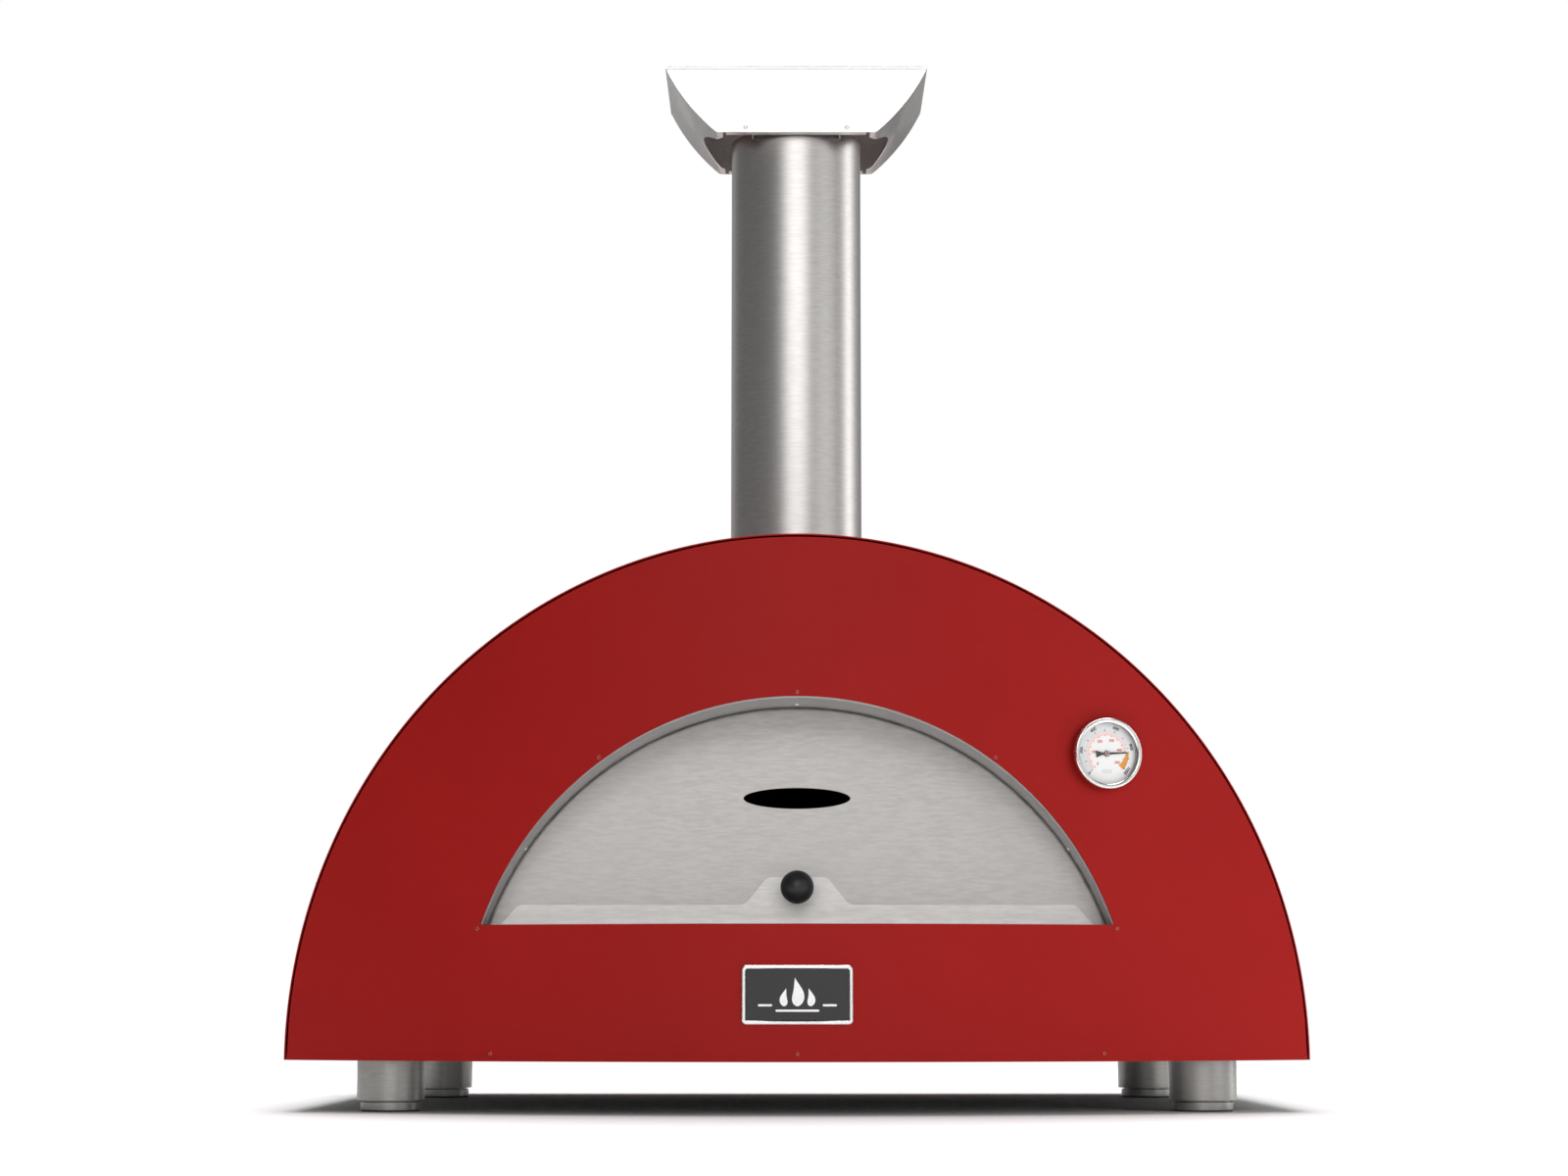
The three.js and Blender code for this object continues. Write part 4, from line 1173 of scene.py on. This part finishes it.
def numeral(name, text, size, radius, share, material, upright=False):
    """One printed number, standing along the scale or upright."""
    curve = bpy.data.curves.new(name, "FONT")
    curve.body = text
    curve.size = size
    curve.align_x = "CENTER"
    curve.align_y = "CENTER"
    curve.extrude = 0.03 * MM
    curve.offset = 0.03 * size
    mesh = mesh_of(curve)
    turn = scale_turn(share)
    spin = 0 if upright else turn - pi / 2
    spot = Matrix.Translation((radius * cos(turn), radius * sin(turn), DIAL_Z + 0.08 * MM))
    mesh.transform(GAUGE_PLACE @ spot @ Matrix.Rotation(spin, 4, "Z"))
    return put(new_object(name, mesh), "white_enamel", material)


def dial_print():
    """A black outer scale, a red inner scale and the hot zone."""
    sector("dial_grey_band", 23.6 * MM, 33.2 * MM, radians(SCALE_START), radians(20), INK_GREY, 0.01 * MM)
    sector("dial_pink_band", 19.6 * MM, 23.2 * MM, radians(SCALE_START), radians(4), INK_PINK, 0.02 * MM)
    hot_step = 5.5
    for i in range(8):
        inner = (21.6 - 0.5 * i) * MM
        start = radians(2 - hot_step * i)
        end = start - radians(hot_step)
        sector(f"dial_hot_band_{i + 1}", inner, 25.4 * MM, start, end, INK_ORANGE, 0.03 * MM, 10)
    ends = radians(SCALE_START), radians(SCALE_END)
    sector("dial_outer_line", 33.2 * MM, 33.5 * MM, *ends, INK_BLACK, 0.02 * MM)
    marks("dial_marks_black", [i / 10 for i in range(11)], 24.0 * MM, 26.4 * MM, 0.7 * MM, INK_BLACK)
    marks("dial_marks_fine", [i / 50 for i in range(51)], 23.6 * MM, 24.4 * MM, 0.25 * MM, INK_BLACK)
    marks("dial_marks_red", [i / 12 for i in range(12)], 18.6 * MM, 20.6 * MM, 0.6 * MM, INK_RED)
    for i in range(6):
        numeral(f"dial_outer_{i}", str(i * 200), 4.8 * MM, 29.2 * MM, i / 5, INK_BLACK)
    for i in range(6):
        numeral(f"dial_inner_{i}", str(i * 100), 4.0 * MM, 15.2 * MM, i / 5, INK_RED, upright=True)


def blank_label():
    """A small empty box printed low on the dial."""
    label = plate("dial_label", [rounded_rectangle(12 * MM, 4.4 * MM, 1.2 * MM, 4)], 0, 0.05 * MM)
    spot = Matrix.Translation((0, -19 * MM, DIAL_Z + 0.08 * MM))
    label.data.transform(GAUGE_PLACE @ spot @ Matrix.Rotation(-pi / 2, 4, "X"))
    put(label, "white_enamel", INK_GREY)


def needle():
    """Tapered arm and a dovetail tail on a ringed hub."""
    place = GAUGE_PLACE @ Matrix.Rotation(radians(3.5), 4, "Z")
    z = DIAL_Z + 0.9 * MM
    arm = [(26, 0.15), (22, 0.6), (3, 1.2), (-5, 1.2), (-12.4, 3.8)]
    arm += [(x, -y) for x, y in reversed(arm)]
    blade = from_faces("blade", [Vector((x * MM, y * MM, z)) for x, y in arm], [tuple(range(len(arm)))])
    thicken(blade, 0.45 * MM, outward=True)
    soften(blade, 0.08 * MM)
    spindle_r = 1.2 * MM
    spindle_z = DIAL_Z - 2 * MM
    hub_r = 3.3 * MM
    hub_top = z + 1.2 * MM
    profile = [(0, spindle_z), (spindle_r, spindle_z), (spindle_r, z), (hub_r, z)]
    profile += [(hub_r, z + 0.9 * MM), (hub_r - 0.4 * MM, hub_top), (0, hub_top)]
    hub = turned("hub", profile, 48)
    soften(hub, 0.1 * MM)
    pointer = join("thermometer_needle", [blade, hub])
    pointer.data.transform(place)
    put(pointer, "black_enamel", INK_BLACK, "gauge_needle", body="needle")
    rings = (("needle_hub_ring", 2.5 * MM, 1.7 * MM, BRIGHT), ("needle_hub_pin", 1.3 * MM, 0, INK_RED))
    for name, outer, inner, material in rings:
        ring = ring_profile(inner, outer, hub_top, hub_top + 0.25 * MM)
        if not inner:
            ring.pop()
        piece = turned(name, ring, 48, place)
        put(soften(piece, 0.06 * MM), "black_enamel", material, body="needle")


# ---- nameplate

PLATE_Z = middle("nameplate_frame").z
PLATE_FRONT = FRONT_Y - low("nameplate_frame").y  # how far the frame stands proud
PLATE_SIZE = (117 * MM, 62 * MM)
FRAME_WIDTH = 4 * MM
FIELD_SINK = 1 * MM  # of the field behind the frame's front


def rounded_rectangle(width, height, radius, steps=8):
    w, h = width / 2, height / 2
    corners = [(w - radius, h - radius, 0), (radius - w, h - radius, 1), (radius - w, radius - h, 2),
               (w - radius, radius - h, 3)]
    points = []
    for cx, cz, quarter in corners:
        points += arc(cx, cz, radius, quarter * pi / 2, (quarter + 1) * pi / 2, steps)
    return points


def nameplate():
    """A raised frame, bent with the panel, round a dark field with a plain flame."""
    outer = rounded_rectangle(*PLATE_SIZE, 5 * MM)
    inner = rounded_rectangle(*(side - 2 * FRAME_WIDTH for side in PLATE_SIZE), 2 * MM)
    section = [(0.0, 0.3 * MM), (0.0, 0.72), (0.22, 1.0), (0.78, 1.0), (1.0, 0.72), (1.0, 0.3 * MM)]
    rows = []
    for (ox, oz), (ix, iz) in zip(outer, inner):
        row = []
        for across, up in section:
            x, z = ox + (ix - ox) * across, oz + (iz - oz) * across
            rise = up if up < 0.1 else up * PLATE_FRONT
            row.append(Vector((x, bow_y(x) - rise, PLATE_Z + z)))
        rows.append(row + [row[0]])
    edge = grid("nameplate_rim", rows, closed=True)
    put(soften(edge, 0.3 * MM, 3), "brushed_steel", BRIGHT, "nameplate_frame")
    rows = []
    width, height = (side - 2 * (FRAME_WIDTH + GAP) for side in PLATE_SIZE)
    for i in range(25):
        x = (-0.5 + i / 24) * width
        y = bow_y(x) - (PLATE_FRONT - FIELD_SINK)
        rows.append([Vector((x, y, PLATE_Z - height / 2)), Vector((x, y, PLATE_Z + height / 2))])
    field = grid("nameplate_panel", rows)
    thicken(field, 1.6 * MM, faces_front)
    put(soften(field, 0.2 * MM), "black_enamel", BLACK, "nameplate_field")
    flame()


def flame_outline(width, height, lean, steps=40):
    """A generic tongue of flame: round below, drawn out to a point that leans to one side."""
    right, left = [], []
    for i in range(steps + 1):
        t = i / steps
        half = width / 2 * sin(pi * t ** 0.62) * (1 - 0.25 * t)
        sway = lean * sin(1.5 * pi * t) * t
        right.append((sway + half, height * t))
        left.append((sway - half, height * t))
    return right + left[-2:0:-1]


def on_plate(obj, x, z):
    """Sets a flat emblem piece on the bent field of the nameplate."""
    obj.data.transform(Matrix.Translation((x, bow_y(x) - (PLATE_FRONT - FIELD_SINK), PLATE_Z + z)))
    return soften(obj, 0.12 * MM)


def flame():
    """The emblem: three tongues of flame over three flat bars, cut from thin bright sheet."""
    thin = (-0.5 * MM, 0.1 * MM)
    parts = []
    for x, width, height, lean in ((0, 14, 30, 2.5), (-14, 9, 19, -2), (14, 9, 19, 2)):
        outline = flame_outline(width * MM, height * MM, lean * MM)
        parts.append(on_plate(plate(f"tongue_{x}", [outline], *thin), x * MM, -12 * MM))
    for side in (-1, 1):
        outline = rounded_rectangle(15 * MM, 2.2 * MM, 1.0 * MM, 4)
        parts.append(on_plate(plate(f"bar_{side}", [outline], *thin), side * 34 * MM, -10.9 * MM))
    hearth = rounded_rectangle(46 * MM, 2.2 * MM, 1.0 * MM, 4)
    parts.append(on_plate(plate("hearth", [hearth], *thin), 0, -16.5 * MM))
    put(join("nameplate_emblem", parts), "brushed_steel", BRIGHT)


# ---- hidden pieces that stay


def kept_nodes():
    for node in ("dome_blanket", "front_insulation", "rear_insulation", "floor_insulation"):
        keep(node, FIBRE)
    keep("hearth_tray", DARK, 0.3 * MM)
    keep("base_tray", DARK, 0.4 * MM)
    for side in ("left", "right"):
        keep(f"cowl_bracket_{side}", PLAIN, 0.3 * MM)


# ---- stage


def area_light(name, place, target, size, radiance, seen_by):
    """A soft box of a given brightness; seen_by says which surfaces it works on."""
    light = bpy.data.lights.new(name, "AREA")
    light.shape = "RECTANGLE"
    light.size, light.size_y = size
    light.energy = radiance * size[0] * size[1] * pi
    obj = bpy.data.objects.new(name, light)
    scene.collection.objects.link(obj)
    obj.location = place
    obj.rotation_euler = (Vector(target) - Vector(place)).to_track_quat("-Z", "Y").to_euler()
    obj.visible_diffuse = seen_by in ("paint", "all")
    obj.visible_glossy = seen_by in ("metal", "all")
    return obj


def studio_world():
    """White behind the oven, a grey room for paint and a darker one for reflections."""
    world = bpy.data.worlds.new("studio")
    scene.world = world
    world.use_nodes = True
    tree = world.node_tree
    path = tree.nodes.new("ShaderNodeLightPath")

    def backdrop(strength):
        node = tree.nodes.new("ShaderNodeBackground")
        node.inputs["Color"].default_value = (1, 1, 1, 1)
        node.inputs["Strength"].default_value = strength
        return node.outputs["Background"]

    def switch(ray, no, yes):
        node = tree.nodes.new("ShaderNodeMixShader")
        tree.links.new(path.outputs[ray], node.inputs["Fac"])
        tree.links.new(no, node.inputs[1])
        tree.links.new(yes, node.inputs[2])
        return node.outputs["Shader"]

    room = switch("Is Diffuse Ray", backdrop(0.16), backdrop(0.4))
    shown = switch("Is Camera Ray", room, backdrop(1.0))
    tree.links.new(shown, tree.nodes["World Output"].inputs["Surface"])


def studio():
    radius = 2.15
    depth = 0.02
    floor = turned("floor", [(0, 0), (radius, 0), (radius, -depth), (0, -depth)], 128)
    n = Nodes("floor_paper")
    n.colour(n.mix(n.noise(2, 3), (0.88, 0.88, 0.88), (0.92, 0.92, 0.92)))
    n.set(Roughness=0.8, Specular_IOR_Level=0.1)
    floor.data.materials.append(n.material)
    studio_world()
    area_light("overhead", (0, 0.6, 3.6), (0, 0.1, 0), (3.7, 3.1), 5.6, "all")
    area_light("key_right", (2.7, -3.1, 1.5), (0, -0.2, 0.35), (2.2, 2.6), 2.7, "paint")
    area_light("front_high", (0.0, -4.6, 2.25), (0, 0, 0.9), (3.0, 2.0), 2.3, "metal")
    area_light("front_low", (0.0, -4.6, 0.55), (0, 0, 0.4), (3.0, 1.1), 1.0, "metal")
    area_light("side_right", (3.2, 0.7, 1.3), (0, 0, 0.8), (1.1, 3.0), 2.7, "metal")
    area_light("front_right", (3.2, -2.6, 1.4), (0, 0, 0.8), (2.6, 3.0), 0.8, "metal")
    area_light("behind", (-2.4, 3.6, 1.6), (0, 0, 0.6), (2.0, 2.4), 0.3, "metal")
    scene.view_settings.view_transform = "Standard"


def camera():
    data = bpy.data.cameras.new("camera")
    data.sensor_width = 36
    data.lens = 70.35
    data.clip_start = 0.05
    data.clip_end = 60
    obj = bpy.data.objects.new("camera", data)
    scene.collection.objects.link(obj)
    obj.location = (-0.0141, FRONT_Y - 3.245, 0.1165)
    obj.rotation_euler = (radians(90 + 7.731), 0, 0)
    scene.camera = obj


camera()
studio()
front_panel()
rear_panel()
shell()
reveal()
sill()
chamber()
floor_tiles()
door_panel()
door_foot()
door_knob()
flue()
collar()
cowl_ends()
cowl_sides()
cowl_lid()
legs()
front_rivets()
shell_rivets()
rear_rivets()
reveal_buttons()
cowl_buttons()
gauge_body()
dial_print()
blank_label()
needle()
nameplate()
kept_nodes()
